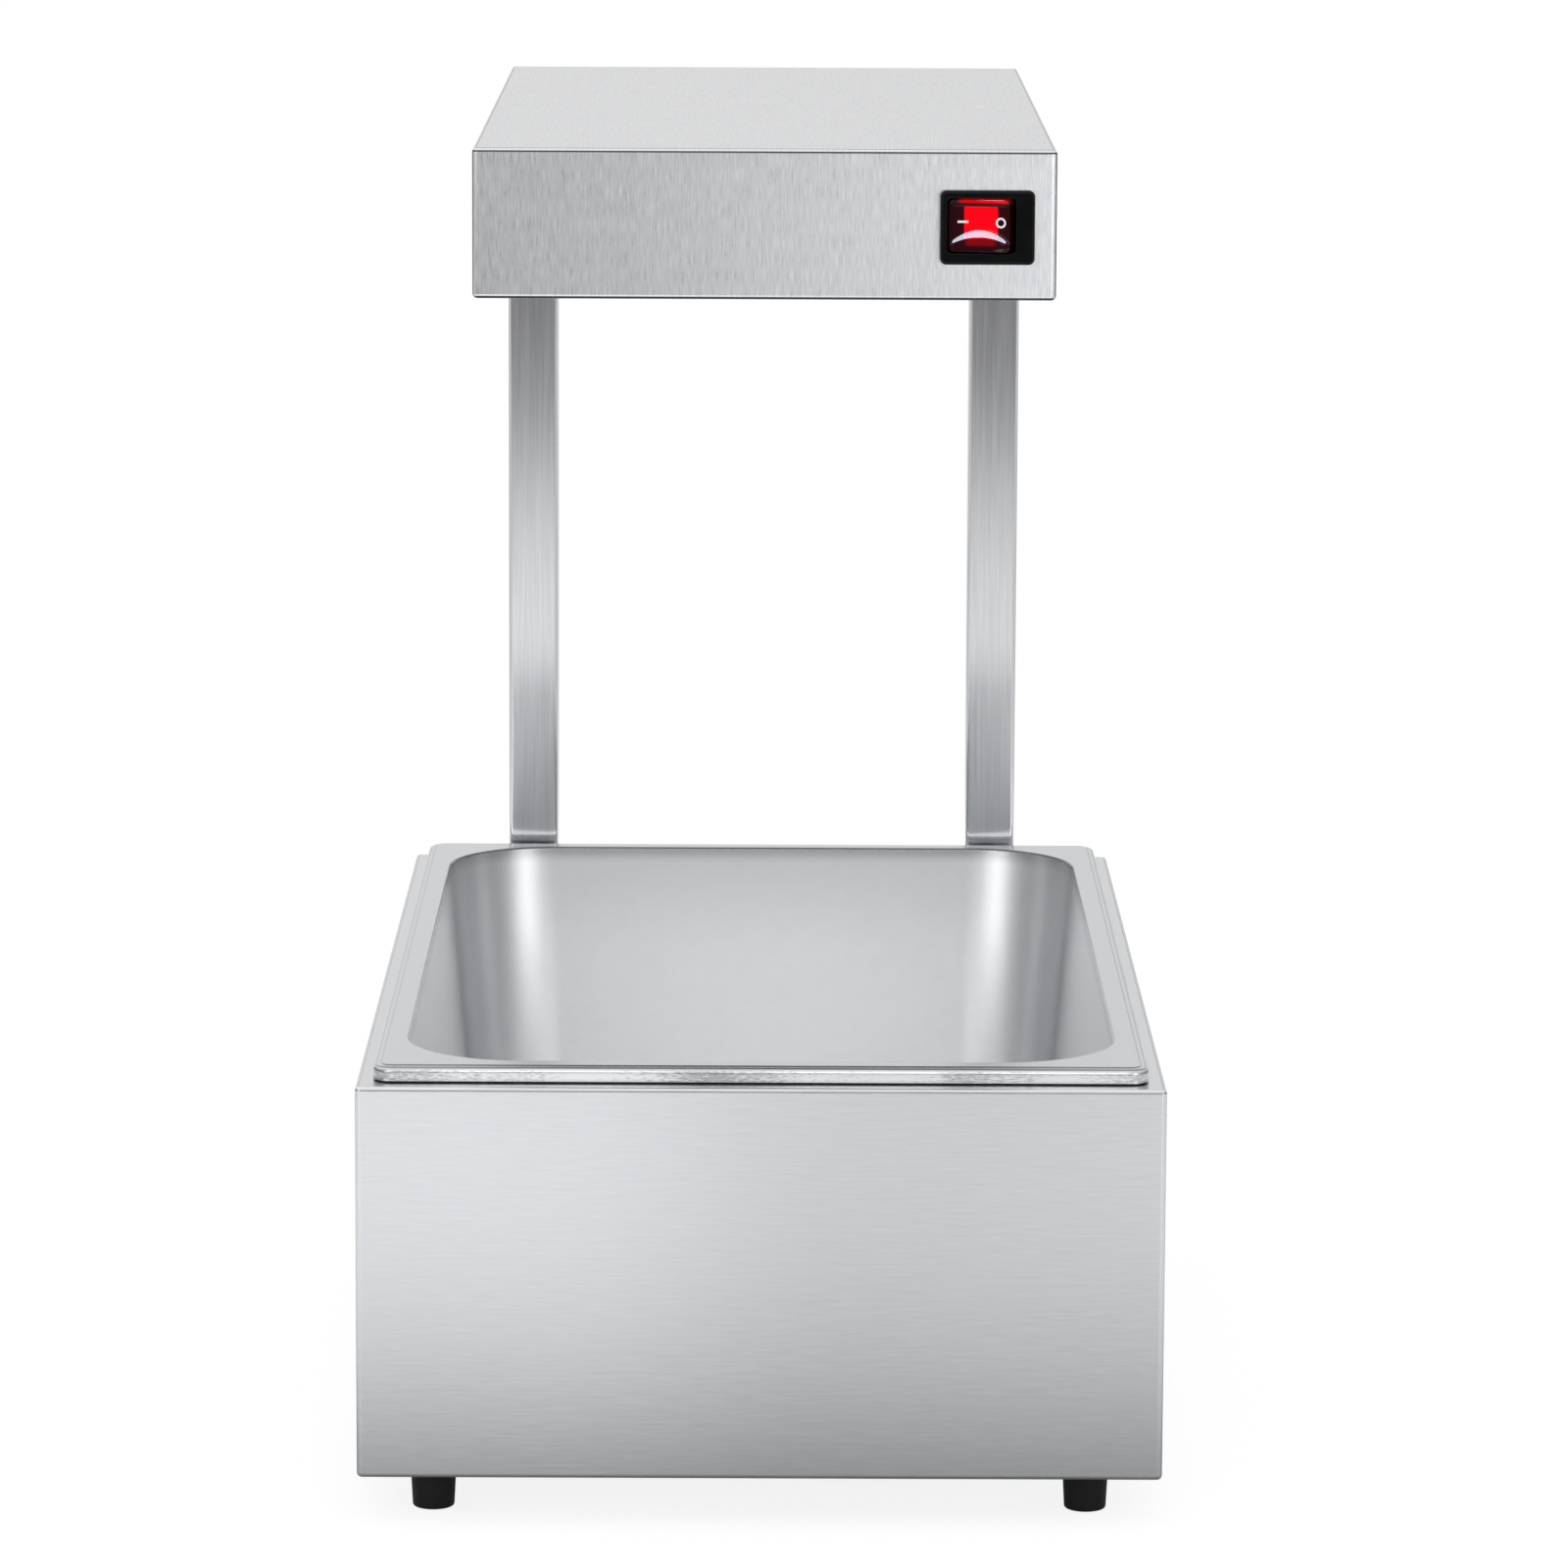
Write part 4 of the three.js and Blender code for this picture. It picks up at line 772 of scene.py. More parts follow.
def cross_recess(x, y, radius):
    """How far inside a cross recess a point lies, 0 to 1."""
    arm, reach = cross_arm * radius, cross_reach * radius
    far, near = max(abs(x), abs(y)), min(abs(x), abs(y))
    inside = min(arm - near, reach - far)
    return clamped(inside / (cross_wall * radius) + 0.5) * (1 - cross_slope * far / reach)


def hex_recess(x, y, radius):
    far = max(abs(x * math.cos(a) + y * math.sin(a)) for a in (0, math.pi / 3, 2 * math.pi / 3))
    return clamped((hex_reach * radius - far) / (hex_wall * radius) + 0.5)


def screw(size, length, recess):
    """A pan-head screw with its seat at the origin, its head below it and its shank up +Z."""
    shank, radius, height, depth = size
    side = head_side * height
    rings = [circle(reach, z) for reach, z in (
        (pole, length), (shank - shank_chamfer, length), (shank, length - shank_chamfer),
        (shank, 0), (radius - head_chamfer, 0), (radius, -head_chamfer), (radius, -side))]
    for step in range(1, dome_steps + 1):
        reach = max(radius * (1 - (step / dome_steps) ** 1.6), pole)
        dome = (height - side) * math.sqrt(max(0.0, 1 - (reach / radius) ** 2.6))
        rings.append([Vector((p.x, p.y, -side - dome + depth * recess(p.x, p.y, radius)))
                      for p in circle(reach, 0)])
    return loft(rings)


def screw_row(name, places, size, length, recess, nodes=(), turn=None):
    """Screws at their seats, each turned a little further than the last."""
    shape = screw(size, length, recess)
    copies = []
    for index, place in enumerate(places):
        twist = Matrix.Rotation(index * 0.9 + 0.3, 4, "Z")
        copies.append(moved(shape, place, (turn or Matrix.Identity(4)) @ twist))
    return piece(name, together(*copies), zinc, nodes, sharp=28)


def plate_seats(at, width, depth, lip):
    """Seats of the six screws that hold a bottom plate in its casing."""
    x = width / 2 - lip / 2
    return [at + Vector((side * x, row * depth / 3, -seat_gap))
            for side in (-1, 1) for row in (-1, 0, 1)]


screw_row("base_plate_screws", plate_seats(base_at, base_width, base_depth, base_return),
          sheet_screw, sheet_screw_length, cross_recess)
for corner in corners:
    bolt = f"foot_bolt_{corner}"
    at = foot_of(bolt)
    at.z += foot_bolt[2]
    screw_row(bolt + "_turned", [at], foot_bolt, high_corner(bolt).z - at.z, cross_recess, [bolt])


# ---- feet

def foot():
    edge = [(foot_bottom - foot_edge + foot_edge * sine, foot_edge * (1 - cosine))
            for sine, cosine in quarter(6)]
    flare = [(foot_bottom + (foot_top - foot_bottom) * k / 6,
              foot_edge + (foot_height - foot_chamfer - foot_edge) * k / 6) for k in range(1, 7)]
    outline = [(foot_counterbore + foot_mouth, 0), *edge, *flare,
               (foot_top - foot_chamfer, foot_height), (foot_bore, foot_height),
               (foot_bore, foot_counterbore_depth), (foot_counterbore, foot_counterbore_depth),
               (foot_counterbore, foot_mouth)]
    return turned(outline, 64)


for corner in corners:
    node = f"foot_{corner}"
    piece(node + "_moulded", foot(), foot_rubber, [node], shift=foot_of(node))


# ---- pan

def pan():
    """The drawn pan: its upper surface from the rim's lower edge over the flange to the floor, and
    the same trace set back by the sheet. A stop is (inset, height, angle, corner radius)."""
    trace = [(0.0, pan_depth - pan_rim_height, math.pi, pan_rim_corner)]
    for step in range(pan_arc_steps + 1):
        angle = math.pi - step / pan_arc_steps * QUARTER
        inset = pan_rim_bend * (1 + math.cos(angle))
        trace.append((inset, pan_depth - pan_bead_step - pan_rim_bend * (1 - math.sin(angle)),
                      angle, pan_rim_corner - inset))
    for step in range(pan_bead_steps + 1):
        share = step / pan_bead_steps
        slope = pan_bead_step / (pan_bead_end - pan_bead_start) * 6 * share * (1 - share)
        inset = pan_bead_start + (pan_bead_end - pan_bead_start) * share
        trace.append((inset, pan_depth - pan_bead_step * (1 - share * share * (3 - 2 * share)),
                      QUARTER + math.atan(slope), pan_rim_corner - inset))
    for step in range(pan_arc_steps + 1):
        angle = QUARTER - step / pan_arc_steps * (QUARTER - pan_draft)
        inset = pan_flange_width - pan_mouth_bend * (1 - math.cos(angle))
        trace.append((inset, pan_depth - pan_mouth_bend * (1 - math.sin(angle)), angle,
                      pan_mouth_corner + pan_flange_width - inset))
    inset, z = trace[-1][:2]
    wall_end = pan_sheet + pan_floor_fillet * (1 - math.sin(pan_draft))
    wall_inset = inset + (z - wall_end) * math.tan(pan_draft)
    for step in range(1, pan_wall_steps):
        share = step / pan_wall_steps
        radius = trace[-1][3]
        radius += (pan_floor_corner - radius) / (pan_wall_steps - step + 1)
        trace.append((inset + (wall_inset - inset) * share, z + (wall_end - z) * share, pan_draft,
                      radius))
    fillet_inset = wall_inset + pan_floor_fillet * math.cos(pan_draft)
    for step in range(2 * pan_arc_steps + 1):
        angle = pan_draft + step / (2 * pan_arc_steps) * (QUARTER - pan_draft)
        back = fillet_inset - pan_floor_fillet * math.cos(angle)
        trace.append((back, pan_sheet + pan_floor_fillet * (1 - math.sin(angle)), angle,
                      pan_floor_corner - (back - wall_inset)))

    def surface(offset):
        rings = []
        for inset, z, angle, radius in trace:
            back = inset - offset * math.cos(angle)
            rings.append(ring(pan_width / 2 - back, pan_length / 2 - back,
                              radius + offset * math.cos(angle), z - offset * math.sin(angle),
                              pan_corner_steps))
        return rings

    return loft([*reversed(surface(pan_sheet)), *surface(0)])


pan_drawn = piece("pan_drawn", pan(), pan_steel, ["gastronorm_pan"], body="pan",
                  shift=pan_at, sharp=40)


# ---- posts

for side in sides:
    post = f"post_{side}"
    at = middle(post)
    low, high = low_corner(post).z, high_corner(post).z
    half, bore = post_size / 2, post_size / 2 - post_wall
    tube = [ring(reach, reach, corner, z, post_corner_steps) for reach, corner, z in (
        (half, post_corner, low), (half, post_corner, high),
        (bore, post_corner - post_wall, high), (bore, post_corner - post_wall, low))]
    piece(post + "_tube", loft(tube, loop=True), post_steel, [post],
          shift=(at.x, at.y, 0))
    stem = bore - seat_gap
    for end, level, turn in (("foot", low, None), ("top", high, Matrix.Rotation(math.pi, 4, "X"))):
        plug = f"post_{end}_plug_{side}"
        profile = [(stem, plug_stem_corner, plug_stem), (stem, plug_stem_corner, -seat_gap),
                   (half, post_corner, -seat_gap)]
        for sine, cosine in quarter(4):
            draw_in = plug_edge * (1 - cosine)
            profile.append((half - draw_in, post_corner - draw_in,
                            -seat_gap - plug_cap + plug_edge * (1 - sine)))
        cap = loft([ring(reach, reach, corner, z, small_steps) for reach, corner, z in profile])
        piece(plug + "_moulded", moved(cap, (at.x, at.y, level), turn), polyamide,
              [plug])
    for spot in ("base_low", "base_high", "head_low", "head_high"):
        bolt = f"post_bolt_{spot}_{side}"
        seat = middle(bolt)
        seat.y = high_corner(bolt).y - post_bolt[2]
        screw_row(bolt + "_turned", [seat], post_bolt, seat.y - low_corner(bolt).y, hex_recess,
                  [bolt], turn=lay_front)


# ---- gland

def flute(angle):
    """Grip flutes round the dome nut."""
    return -gland_flute_depth * max(0.0, math.cos(gland_flutes * angle)) ** 2


def gland_dome_nut():
    low = gland_hex_height + seat_gap
    high = low + gland_dome_length
    inner = gland_collar + seat_gap
    chamfer, run_out = 0.4, 1.2
    shoulder = high - (gland_dome - gland_dome_mouth)
    ledge = gland_hex_height + gland_collar_length + seat_gap
    grip = [(gland_dome - chamfer, low), (gland_dome, low + chamfer),
            (gland_dome, shoulder - run_out)]
    dome = [(gland_dome_mouth + (gland_dome - gland_dome_mouth) * cosine,
             shoulder + (high - shoulder) * sine) for sine, cosine in quarter(8)]
    bore = [(gland_bore + 2 * seat_gap, high), (gland_bore + seat_gap, high - seat_gap),
            (gland_bore + seat_gap, ledge), (inner, ledge)]
    return loft([circle(inner, low, gland_steps),
                 *[circle(radius, z, gland_steps, flute) for radius, z in grip],
                 *[circle(radius, z, gland_steps) for radius, z in dome + bore]], loop=True)


def gland_body():
    hexagon = []
    for z, chamfer in ((seat_gap, 0.0), (gland_hex_height - gland_chamfer, 0.0),
                       (gland_hex_height, gland_chamfer)):
        level = []
        for k in range(gland_steps):
            angle = 2 * math.pi * k / gland_steps
            sector = (angle % (math.pi / 3)) - math.pi / 6
            flat = gland_hex * math.cos(math.pi / 6) / math.cos(sector)
            reach = min(flat, gland_hex - gland_hex_corner - chamfer)
            level.append(Vector((reach * math.cos(angle), reach * math.sin(angle), z)))
        hexagon.append(level)
    end = gland_hex_height + gland_collar_length
    barrel = [(gland_barrel, -gland_inner_length), (gland_barrel, seat_gap)]
    collar = [(gland_collar, gland_hex_height), (gland_collar, end), (gland_seat, end),
              (gland_seat, end - gland_seat_depth), (gland_bore, end - gland_seat_depth),
              (gland_bore, -gland_inner_length)]
    return loft([*[circle(radius, z, gland_steps) for radius, z in barrel], *hexagon,
                 *[circle(radius, z, gland_steps) for radius, z in collar]], loop=True)


def gland_seal():
    low, high = seal_span
    return turned([(gland_bore, low), (gland_bore + seal_wall, low),
                   (gland_bore + seal_wall, high), (gland_bore + seat_gap, high),
                   (gland_bore, high - seat_gap)])


gland_at = middle("gland_body")
gland_at.y = high_corner("base_casing").y
for node, shape, finish, slot_name in (
        ("gland_body", gland_body(), polyamide, "black_polyamide"),
        ("gland_dome_nut", gland_dome_nut(), polyamide, "black_polyamide"),
        ("gland_seal", gland_seal(), foot_rubber, "foot_rubber")):
    piece(node + "_moulded", moved(shape, gland_at, lay_back), finish, [node], sharp=28)


# ---- head

head_at = foot_of("head_cover")
switch_at = Vector((middle("switch_body").x, low_corner("switch_body").y,
                    middle("switch_body").z))
window_at = switch_at + window_shift - head_at


def head_cover():
    mouth = casing_mouth(head_width, head_depth, head_return)
    shell = loft([*reversed(skin(head_width, head_depth, head_height, 0)), *mouth,
                  *skin(head_width, head_depth, head_height, sheet)])
    cutters = [slot_cutter((column - 0.5) * (vent_length + vent_pitch), head_depth / 2,
                           head_height / 2 + (row - 1) * vent_pitch, True)
               for row in range(3) for column in range(2)]
    opening = loft([ring(housing_width / 2 + seat_gap, housing_height / 2 + seat_gap, 0.2, z, 2)
                    for z in (-punch_reach, punch_reach)])
    cutters.append(moved(opening, (window_at.x, -head_depth / 2, window_at.z), lay_front))
    return pierced(shell, cutters)


head_shell = piece("head_shell", head_cover(), head_steel, ["head_cover"],
                   shift=head_at)

lamp_hole = loft([ring(lamp_width / 2, lamp_length / 2, lamp_corner, z, small_steps)
                  for z in (-punch_reach, punch_reach)])
piece("head_floor_plate", pierced(sheet_plate(head_width, head_depth, plate_low), [lamp_hole]),
      plate_steel, ["head_bottom_plate"], shift=head_at)
reflector_x = lamp_width / 2 + 2 * guard_margin + sheet_screw[1] / 2
reflector_seats = [head_at + Vector((side * reflector_x, end * lamp_length / 3,
                                     plate_low - seat_gap))
                   for side in (-1, 1) for end in (-1, 1)]
screw_row("head_plate_screws",
          plate_seats(head_at, head_width, head_depth, head_return) + reflector_seats,
          sheet_screw, reflector_screw_length, cross_recess)


def guard():
    """A wire frame with cross wires and two rails."""
    half_x, half_y = lamp_width / 2 + guard_margin, lamp_length / 2 + guard_margin
    frame_rings = []
    for step in range(16):
        angle = 2 * math.pi * step / 16
        out = guard_frame * math.cos(angle)
        frame_rings.append(ring(half_x + out, half_y + out, lamp_corner + out,
                                guard_frame * math.sin(angle), 12))
    count = int(half_y // guard_pitch)
    runs = [((-half_x, row * guard_pitch, 0), (half_x, row * guard_pitch, 0))
            for row in range(-count, count + 1)]
    runs += [((side * guard_rail, -half_y, 0), (side * guard_rail, half_y, 0)) for side in (-1, 1)]
    return together(loft(frame_rings, loop=True),
                    *[rod([Vector(start), Vector(end)], guard_wire) for start, end in runs])


piece("guard_wires", guard(), guard_plating, ["guard_grille"],
      shift=middle("guard_grille"), sharp=50)
smoothed("reflector", reflector_steel)

for side in sides:
    tube = f"heater_tube_{side}"
    at = middle(tube)
    half = (high_corner(tube).y - low_corner(tube).y) / 2
    inner, soft = tube_radius - tube_wall, tube_chamfer
    pipe = turned([(inner + soft, -half), (tube_radius - soft, -half), (tube_radius, soft - half),
                   (tube_radius, half - soft), (tube_radius - soft, half), (inner + soft, half),
                   (inner, half - soft), (inner, soft - half)])
    piece(tube + "_drawn", moved(pipe, at, lay_back), milky_quartz, [tube])
    core = f"heater_core_{side}"
    count = int(2 * half / coil_pitch) * coil_points
    path = []
    for k in range(count + 1):
        angle = 2 * math.pi * k / coil_points
        path.append(Vector((coil_radius * math.cos(angle), coil_radius * math.sin(angle),
                            -half + coil_end + (2 * half - 2 * coil_end) * k / count)))
    piece(core + "_wound", moved(rod(path, coil_wire, 5), at, lay_back), resistance_wire,
          [core], sharp=80)

# Wires inside the head and the posts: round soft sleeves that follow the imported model's routes
for node in ("heater_lead_left", "heater_lead_right", "heater_link", "switch_lead"):
    smoothed(node, silicone, sharp=80, rounder=1)
smoothed("supply_cable", cable_sheath, sharp=80, rounder=1)


# ---- switch

def bezel():
    """Bezel and pocket drawn with the front down and laid back onto the head's front."""
    shift = Vector((window_shift.x, -window_shift.z, 0))
    outer = []
    for sine, cosine in quarter(6):
        inset = bezel_edge * (1 - cosine)
        outer.append(ring(bezel_width / 2 - inset, bezel_height / 2 - inset, bezel_corner - inset,
                          bezel_edge * (1 - sine), bezel_steps))
    wall = ring(bezel_width / 2, bezel_height / 2, bezel_corner, bezel_depth, bezel_steps)
    edge = [(window_edge * (1 - sine), window_edge * (1 - cosine)) for sine, cosine in quarter(3)]
    pocket = [ring(window_width / 2 + out, window_height / 2 + out, window_corner + out, z,
                   bezel_steps) for out, z in [*edge, (0, pocket_depth)]]
    housing = [ring(housing_width / 2, housing_height / 2, housing_corner, z, bezel_steps)
               for z in (bezel_depth + housing_depth, bezel_depth)]
    housing, pocket = ([[point + shift for point in level] for level in rings]
                       for rings in (housing, pocket))
    return loft([*housing, wall, *outer, *pocket])


def blades():
    back = bezel_depth + housing_depth
    x, z = blade_places
    blade = loft([ring(*blade_half, 0.2, back - 0.2, 3),
                  ring(*blade_half, 0.2, back + blade_length - blade_taper, 3),
                  ring(*blade_tip_half, 0.1, back + blade_length, 3)])
    return together(*[moved(blade, (window_shift.x + side * x, -window_shift.z + row * z, 0))
                      for side in (-1, 1) for row in (-1, 1)])


piece("switch_bezel", moved(bezel(), switch_at, lay_back), switch_black,
      ["switch_body"])
piece("switch_blades", moved(blades(), switch_at, lay_back), zinc)

edge_x = rocker_radius * math.cos(rocker_edge_angle)
edge_y = rocker_radius * math.sin(rocker_edge_angle)


def ease(value, low, high):
    share = clamped((value - low) / (high - low))
    return share * share * (3 - 2 * share)


def rocker_face(x, z):
    """The rocker's front: a hollow between its finger ends, a lip along its top, and a crescent
    ledge below the hollow that turns up to the light."""
    hollow = -rocker_valley - (edge_y - rocker_valley) * (x / edge_x) ** 2
    spread = min(abs(x) / crescent_half, 1.0) ** 2
    high = crescent_top - crescent_top_fall * spread
    low = crescent_foot - crescent_foot_fall * spread
    ledge = (crescent_proud * (1 - crescent_thins * spread) * (1 - ease(abs(x), *crescent_ends))
             * ease(-z, -high, -low))
    lip = lip_proud * (1 - spread) * ease(z, *lip_rise)
    return hollow - ledge - lip


def rocker():
    half = rocker_height / 2
    edge = [(-half + rocker_soft * (1 - sine), rocker_soft * (1 - cosine))
            for sine, cosine in quarter(6)]
    flat = [(-half + rocker_soft + (2 * half - 2 * rocker_soft) * k / rocker_rows, 0.0)
            for k in range(1, rocker_rows)]
    levels = [*reversed(edge), *flat, *[(-z, inset) for z, inset in edge]]
    swing = rocker_edge_angle + rocker_skirt_angle
    right = [-rocker_edge_angle + swing * k / 8 for k in range(1, 9)]
    left = [math.pi - rocker_skirt_angle + swing * k / 8 for k in range(8)]
    rings = []
    for z, inset in levels:
        past = max(0.0, abs(z) - half + rocker_corner)
        round_off = rocker_corner - math.sqrt(max(0.0, rocker_corner ** 2 - past ** 2))
        narrower = 1 - round_off / edge_x
        reach = rocker_radius - rocker_draw * inset
        row = []
        for k in range(rocker_columns + 1):
            x = edge_x * (2 * k / rocker_columns - 1)
            row.append((x * (1 - rocker_draw * inset / edge_x), rocker_face(x, z) + inset))
        row += [(reach * math.cos(angle), reach * math.sin(angle)) for angle in right]
        row.append((0, rocker_belly))
        row += [(reach * math.cos(angle), reach * math.sin(angle)) for angle in left]
        rings.append([Vector((x * narrower, y, z)) for x, y in row])
    pin_half = half + rocker_pin_length
    pin = loft([circle(rocker_pin, -pin_half, 24), circle(rocker_pin, pin_half, 24)])
    return together(loft(rings), pin)


def on_face(x, z, proud):
    return Vector((x, rocker_face(x, z) - proud, z))


def dash(x_low, x_high, z, height):
    """A printed bar that lies on the rocker's face."""
    rings = []
    low, high = z - height / 2, z + height / 2
    for k in range(13):
        x = x_low + (x_high - x_low) * k / 12
        rings.append([on_face(x, low, ink_root), on_face(x, low, ink_proud),
                      on_face(x, high, ink_proud), on_face(x, high, ink_root)])
    return loft(rings)


def letter_ring(x, z, outer, inner):
    """A printed ring that lies on the rocker's face."""
    rings = []
    for k in range(48):
        angle = 2 * math.pi * k / 48
        rings.append([on_face(x + r * math.cos(angle), z + r * math.sin(angle), proud)
                      for r, proud in ((inner, ink_root), (inner, ink_proud),
                                       (outer, ink_proud), (outer, ink_root))])
    return loft(rings, loop=True)


pivot = switch_at + window_shift + Vector((0, rocker_pivot_depth, 0))
rocker_place = Matrix.Translation(pivot * MM) @ Matrix.Rotation(-rocker_travel / 2, 4, "Z")
rocker_lens = piece("rocker_lens", rocker(), red_lens, ["switch_rocker"],
                    body="rocker", sharp=40, place=rocker_place)
marks = together(dash(x_low=-9.3, x_high=-5.0, z=1.6, height=0.95),
                 letter_ring(x=8.9, z=1.4, outer=2.2, inner=1.4))
piece("rocker_marks", marks, mark_ink, body="rocker", place=rocker_place)

# ---- nodes that keep their shape

for finish, nodes in (
        (plate_steel, [f"{where}_anchor_{side}" for where in ("base", "head") for side in sides]),
        (natural_polyamide, ["base_terminal_block", "head_terminal_block"]),
        (polyamide, ["gland_lock_nut"]),
        (foot_rubber, ["wire_bush_base", "wire_bush_head"]),
        (steatite, [f"heater_cap_{corner}" for corner in corners]),
        (plate_steel, ["cap_bracket_front", "cap_bracket_rear"])):
    for node in nodes:
        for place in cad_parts[node].material_slots:
            place.material = finish

# ---- stage, light and camera

scene.view_settings.view_transform = "Standard"


def background_share(tree):
    """1 for camera, glossy and transmission rays, and the light path itself."""
    path = add(tree, "LightPath").outputs
    first = add(tree, "Math MAXIMUM", path["Is Camera Ray"], path["Is Glossy Ray"])
    seen = add(tree, "Math MAXIMUM", first, path["Is Transmission Ray"])
    return seen, path


# What steel mirrors, as (value, tone) pairs. The room by height of the direction: all round, to
# the sides, and in front behind the camera. The floor in metres: by the way from the base, by
# the way behind the camera, and across.
room_around = [(-0.1, 0.8), (0.0, 0.84), (0.3, 0.95), (0.6, 1.2), (1.0, 1.3)]
room_beside = [(-0.1, 0.35), (0.2, 0.4), (0.4, 0.9), (0.6, 1.2), (1.0, 1.3)]
room_front = [(-0.1, 0.06), (0.12, 0.1), (0.2, 0.95), (0.4, 1.05), (1.0, 1.2)]
floor_near = [(0.0, 0.1), (0.1, 0.26), (0.3, 0.66), (0.55, 1.06), (0.8, 1.16), (1.3, 0.8)]
floor_far = [(-3.8, 0.05), (-3.3, 0.12), (-2.9, 0.42), (-2.5, 0.82), (-2.1, 1.0)]
floor_across = [(-0.9, 0.8), (-0.5, 1.3), (-0.1, 1.3), (0.04, 0.96), (0.15, 0.98), (0.35, 1.15),
                (0.5, 1.1), (0.9, 0.8)]
soft_light = 0.85
floor_light = 0.86
floor_half = 40.0


def studio():
    """A white room. Steel sees it softly shaded: bright above, dim behind the camera."""
    world = bpy.data.worlds.new("white_studio")
    scene.world = world
    world.use_nodes = True
    tree = world.node_tree
    tree.nodes.clear()
    seen, path = background_share(tree)
    way = add(tree, "SeparateXYZ", add(tree, "TexCoord").outputs["Generated"]).outputs
    sideways = add(tree, "Math ABSOLUTE", way["X"])
    ahead = add(tree, "MapRange SMOOTHSTEP", way["Y"], -0.35, -0.9)
    aside = add(tree, "MapRange SMOOTHSTEP", sideways, 0.45, 0.85)
    around, beside, front = (ramp(tree, way["Z"], -0.1, 1.0, stops)
                             for stops in (room_around, room_beside, room_front))
    walls = add(tree, "Mix RGBA", aside, around, beside)
    room = add(tree, "Mix RGBA", ahead, walls, front)
    lean = add(tree, "MapRange", way["X"], -0.4, 0.4, 1.05, 0.88)
    leant = add(tree, "VectorMath SCALE", room, Scale=lean)
    mirrored = add(tree, "Mix RGBA", path["Is Glossy Ray"], (1, 1, 1, 1), leant)
    light = add(tree, "Mix RGBA", seen, (soft_light, soft_light, soft_light, 1), mirrored)
    backdrop = add(tree, "Background", Color=light, Strength=1.0)
    add(tree, "OutputWorld", backdrop)


studio()


def floor_paper():
    """White paper: the camera sees it white with the object's faint shadow, and steel sees it fall
    off towards the base, as paper does in the object's own shade, and far off behind the camera."""
    material = bpy.data.materials.new("paper_white_matt")
    material.use_nodes = True
    tree = material.node_tree
    tree.nodes.clear()
    seen, path = background_share(tree)
    place = add(tree, "SeparateXYZ", add(tree, "NewGeometry").outputs["Position"]).outputs
    squares = []
    for axis, size, centre in (("X", base_width, base_at.x), ("Y", base_depth, base_at.y)):
        gap = place[axis]
        for step, number in (("SUBTRACT", centre * MM), ("ABSOLUTE", 0.0),
                             ("SUBTRACT", size / 2 * MM), ("MAXIMUM", 0.0), ("POWER", 2.0)):
            gap = add(tree, f"Math {step}", gap, number)
        squares.append(gap)
    total = add(tree, "Math ADD", *squares)
    distance = add(tree, "Math POWER", total, 0.5)
    near = ramp(tree, distance, 0.0, 2.0, floor_near)
    far = ramp(tree, place["Y"], -5.0, 0.0, floor_far)
    across = ramp(tree, place["X"], -1.0, 1.0, floor_across)
    shaded = add(tree, "Math MULTIPLY", near, far)
    leant = add(tree, "Math MULTIPLY", shaded, across)
    tone = add(tree, "Mix", path["Is Glossy Ray"], floor_light, leant)
    glow = add(tree, "Emission", Color=(1, 1, 1, 1), Strength=tone)
    faint = add(tree, "BsdfDiffuse", Color=(0.2, 0.2, 0.2, 1))
    lit = add(tree, "AddShader", glow, faint)
    paper = add(tree, "BsdfDiffuse", Color=(0.8, 0.8, 0.8, 1))
    mixed = add(tree, "MixShader", seen, paper, lit)
    add(tree, "OutputMaterial", mixed)
    return material


floor_mesh = bpy.data.meshes.new("paper_floor")
floor_mesh.from_pydata([Vector((x * floor_half, y * floor_half, 0))
                        for x, y in ((-1, -1), (1, -1), (1, 1), (-1, 1))], [], [(0, 1, 2, 3)])
made = bpy.data.objects.new("paper_floor", floor_mesh)
scene.collection.objects.link(made)
made.data.materials.append(floor_paper())


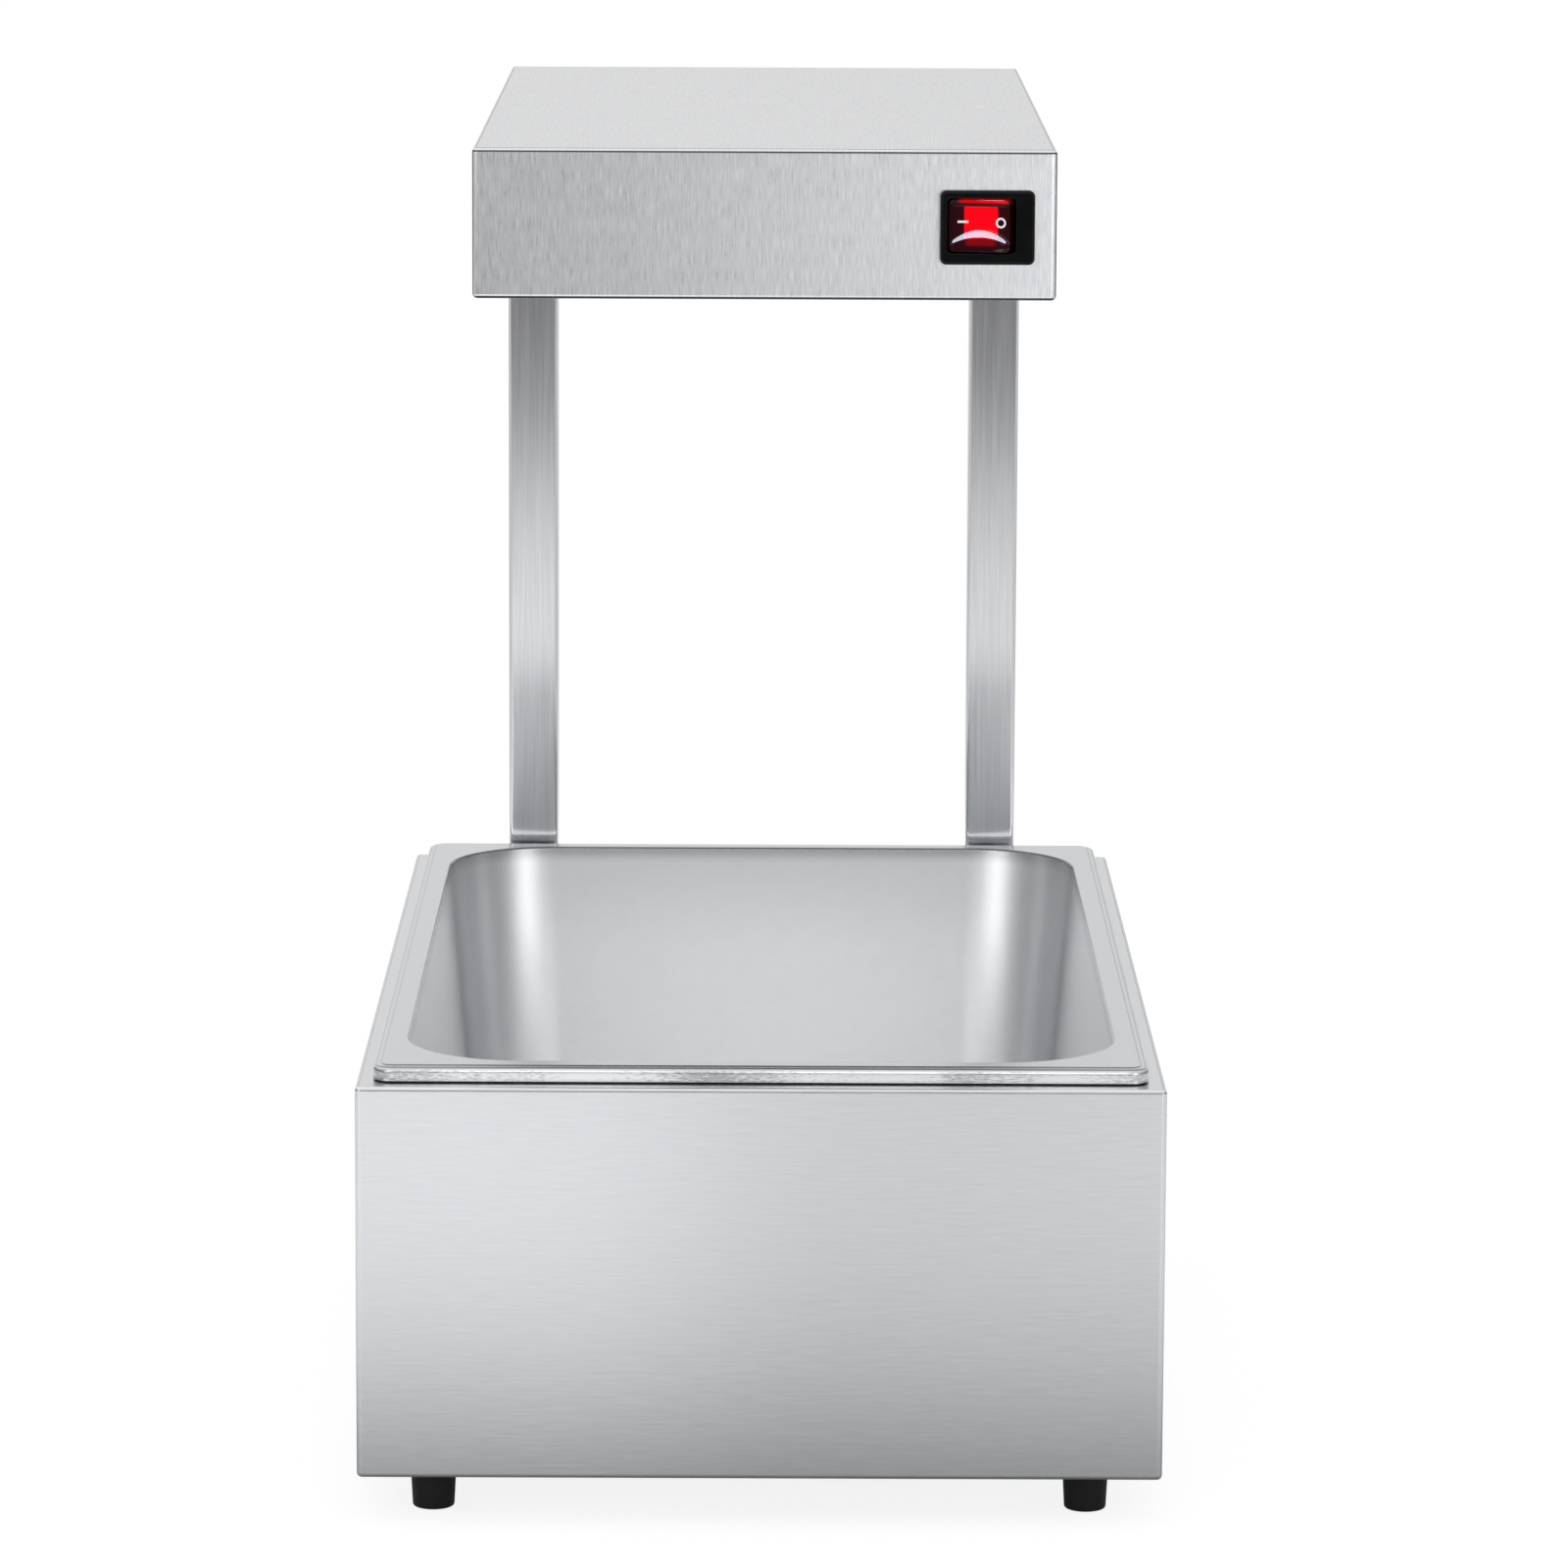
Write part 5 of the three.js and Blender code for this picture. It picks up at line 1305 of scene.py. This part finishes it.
def softbox(name, place, target, size, power, only=None, tint="#FFFFFF"):
    """A soft lamp: place, target and size in metres, power in watts. only names the one piece
    that it lights."""
    light = bpy.data.lights.new(name, "AREA")
    light.shape = "RECTANGLE"
    light.size, light.size_y = size
    light.energy = power
    light.color = colour(tint)[:3]
    made = bpy.data.objects.new(name, light)
    scene.collection.objects.link(made)
    made.location = place
    made.rotation_euler = (Vector(target) - Vector(place)).to_track_quat("-Z", "Y").to_euler()
    made.visible_camera = False
    if only:
        lit = bpy.data.collections.new(name + "_lights")
        lit.objects.link(only)
        made.light_linking.receiver_collection = lit


for side, x in (("right", 1.65), ("left", -1.65)):
    softbox(side + "_softbox", (x, -2.45, 0.66), (0, 0, 0.3), (1.2, 0.5), 7)
# Side light on the head's front, and a high strip whose glare lies on the rocker's ledge
softbox("head_softbox", (0.68, -1.25, 0.43), (0.68, 0, 0.43), (1.24, 0.26), 1.25, only=head_shell)
softbox("rocker_strip", (-0.55, -1.6, 1.95), (-0.55, -0.22, 0.54), (2.2, 1.0), 400,
        only=rocker_lens, tint="#E9E9FF")
# Light that falls into the pan from over its front edge
softbox("pan_softbox", (0, -2.0, 1.05), (0, 0.25, 0.15), (3.0, 1.0), 10, only=pan_drawn)

# Camera, fitted to the photograph
camera_at = Vector((-0.0013, -3.2165, 0.8186))
yaw, pitch, roll = (math.radians(angle) for angle in (0.201, 9.716, 0.268))
forward = Vector((math.sin(yaw) * math.cos(pitch), math.cos(yaw) * math.cos(pitch),
                  -math.sin(pitch)))
level = Vector((math.cos(yaw), -math.sin(yaw), 0))
up = level.cross(forward)
right = level * math.cos(roll) + up * math.sin(roll)
top = up * math.cos(roll) - level * math.sin(roll)
lens = bpy.data.cameras.new("photo_view")
lens.sensor_width = 36
lens.lens = 164.91
lens.clip_end = 200
camera = bpy.data.objects.new("photo_view", lens)
scene.collection.objects.link(camera)
camera.matrix_world = (Matrix.Translation(camera_at)
                       @ Matrix((right, top, -forward)).transposed().to_4x4())
scene.camera = camera

bpy.context.view_layer.update()
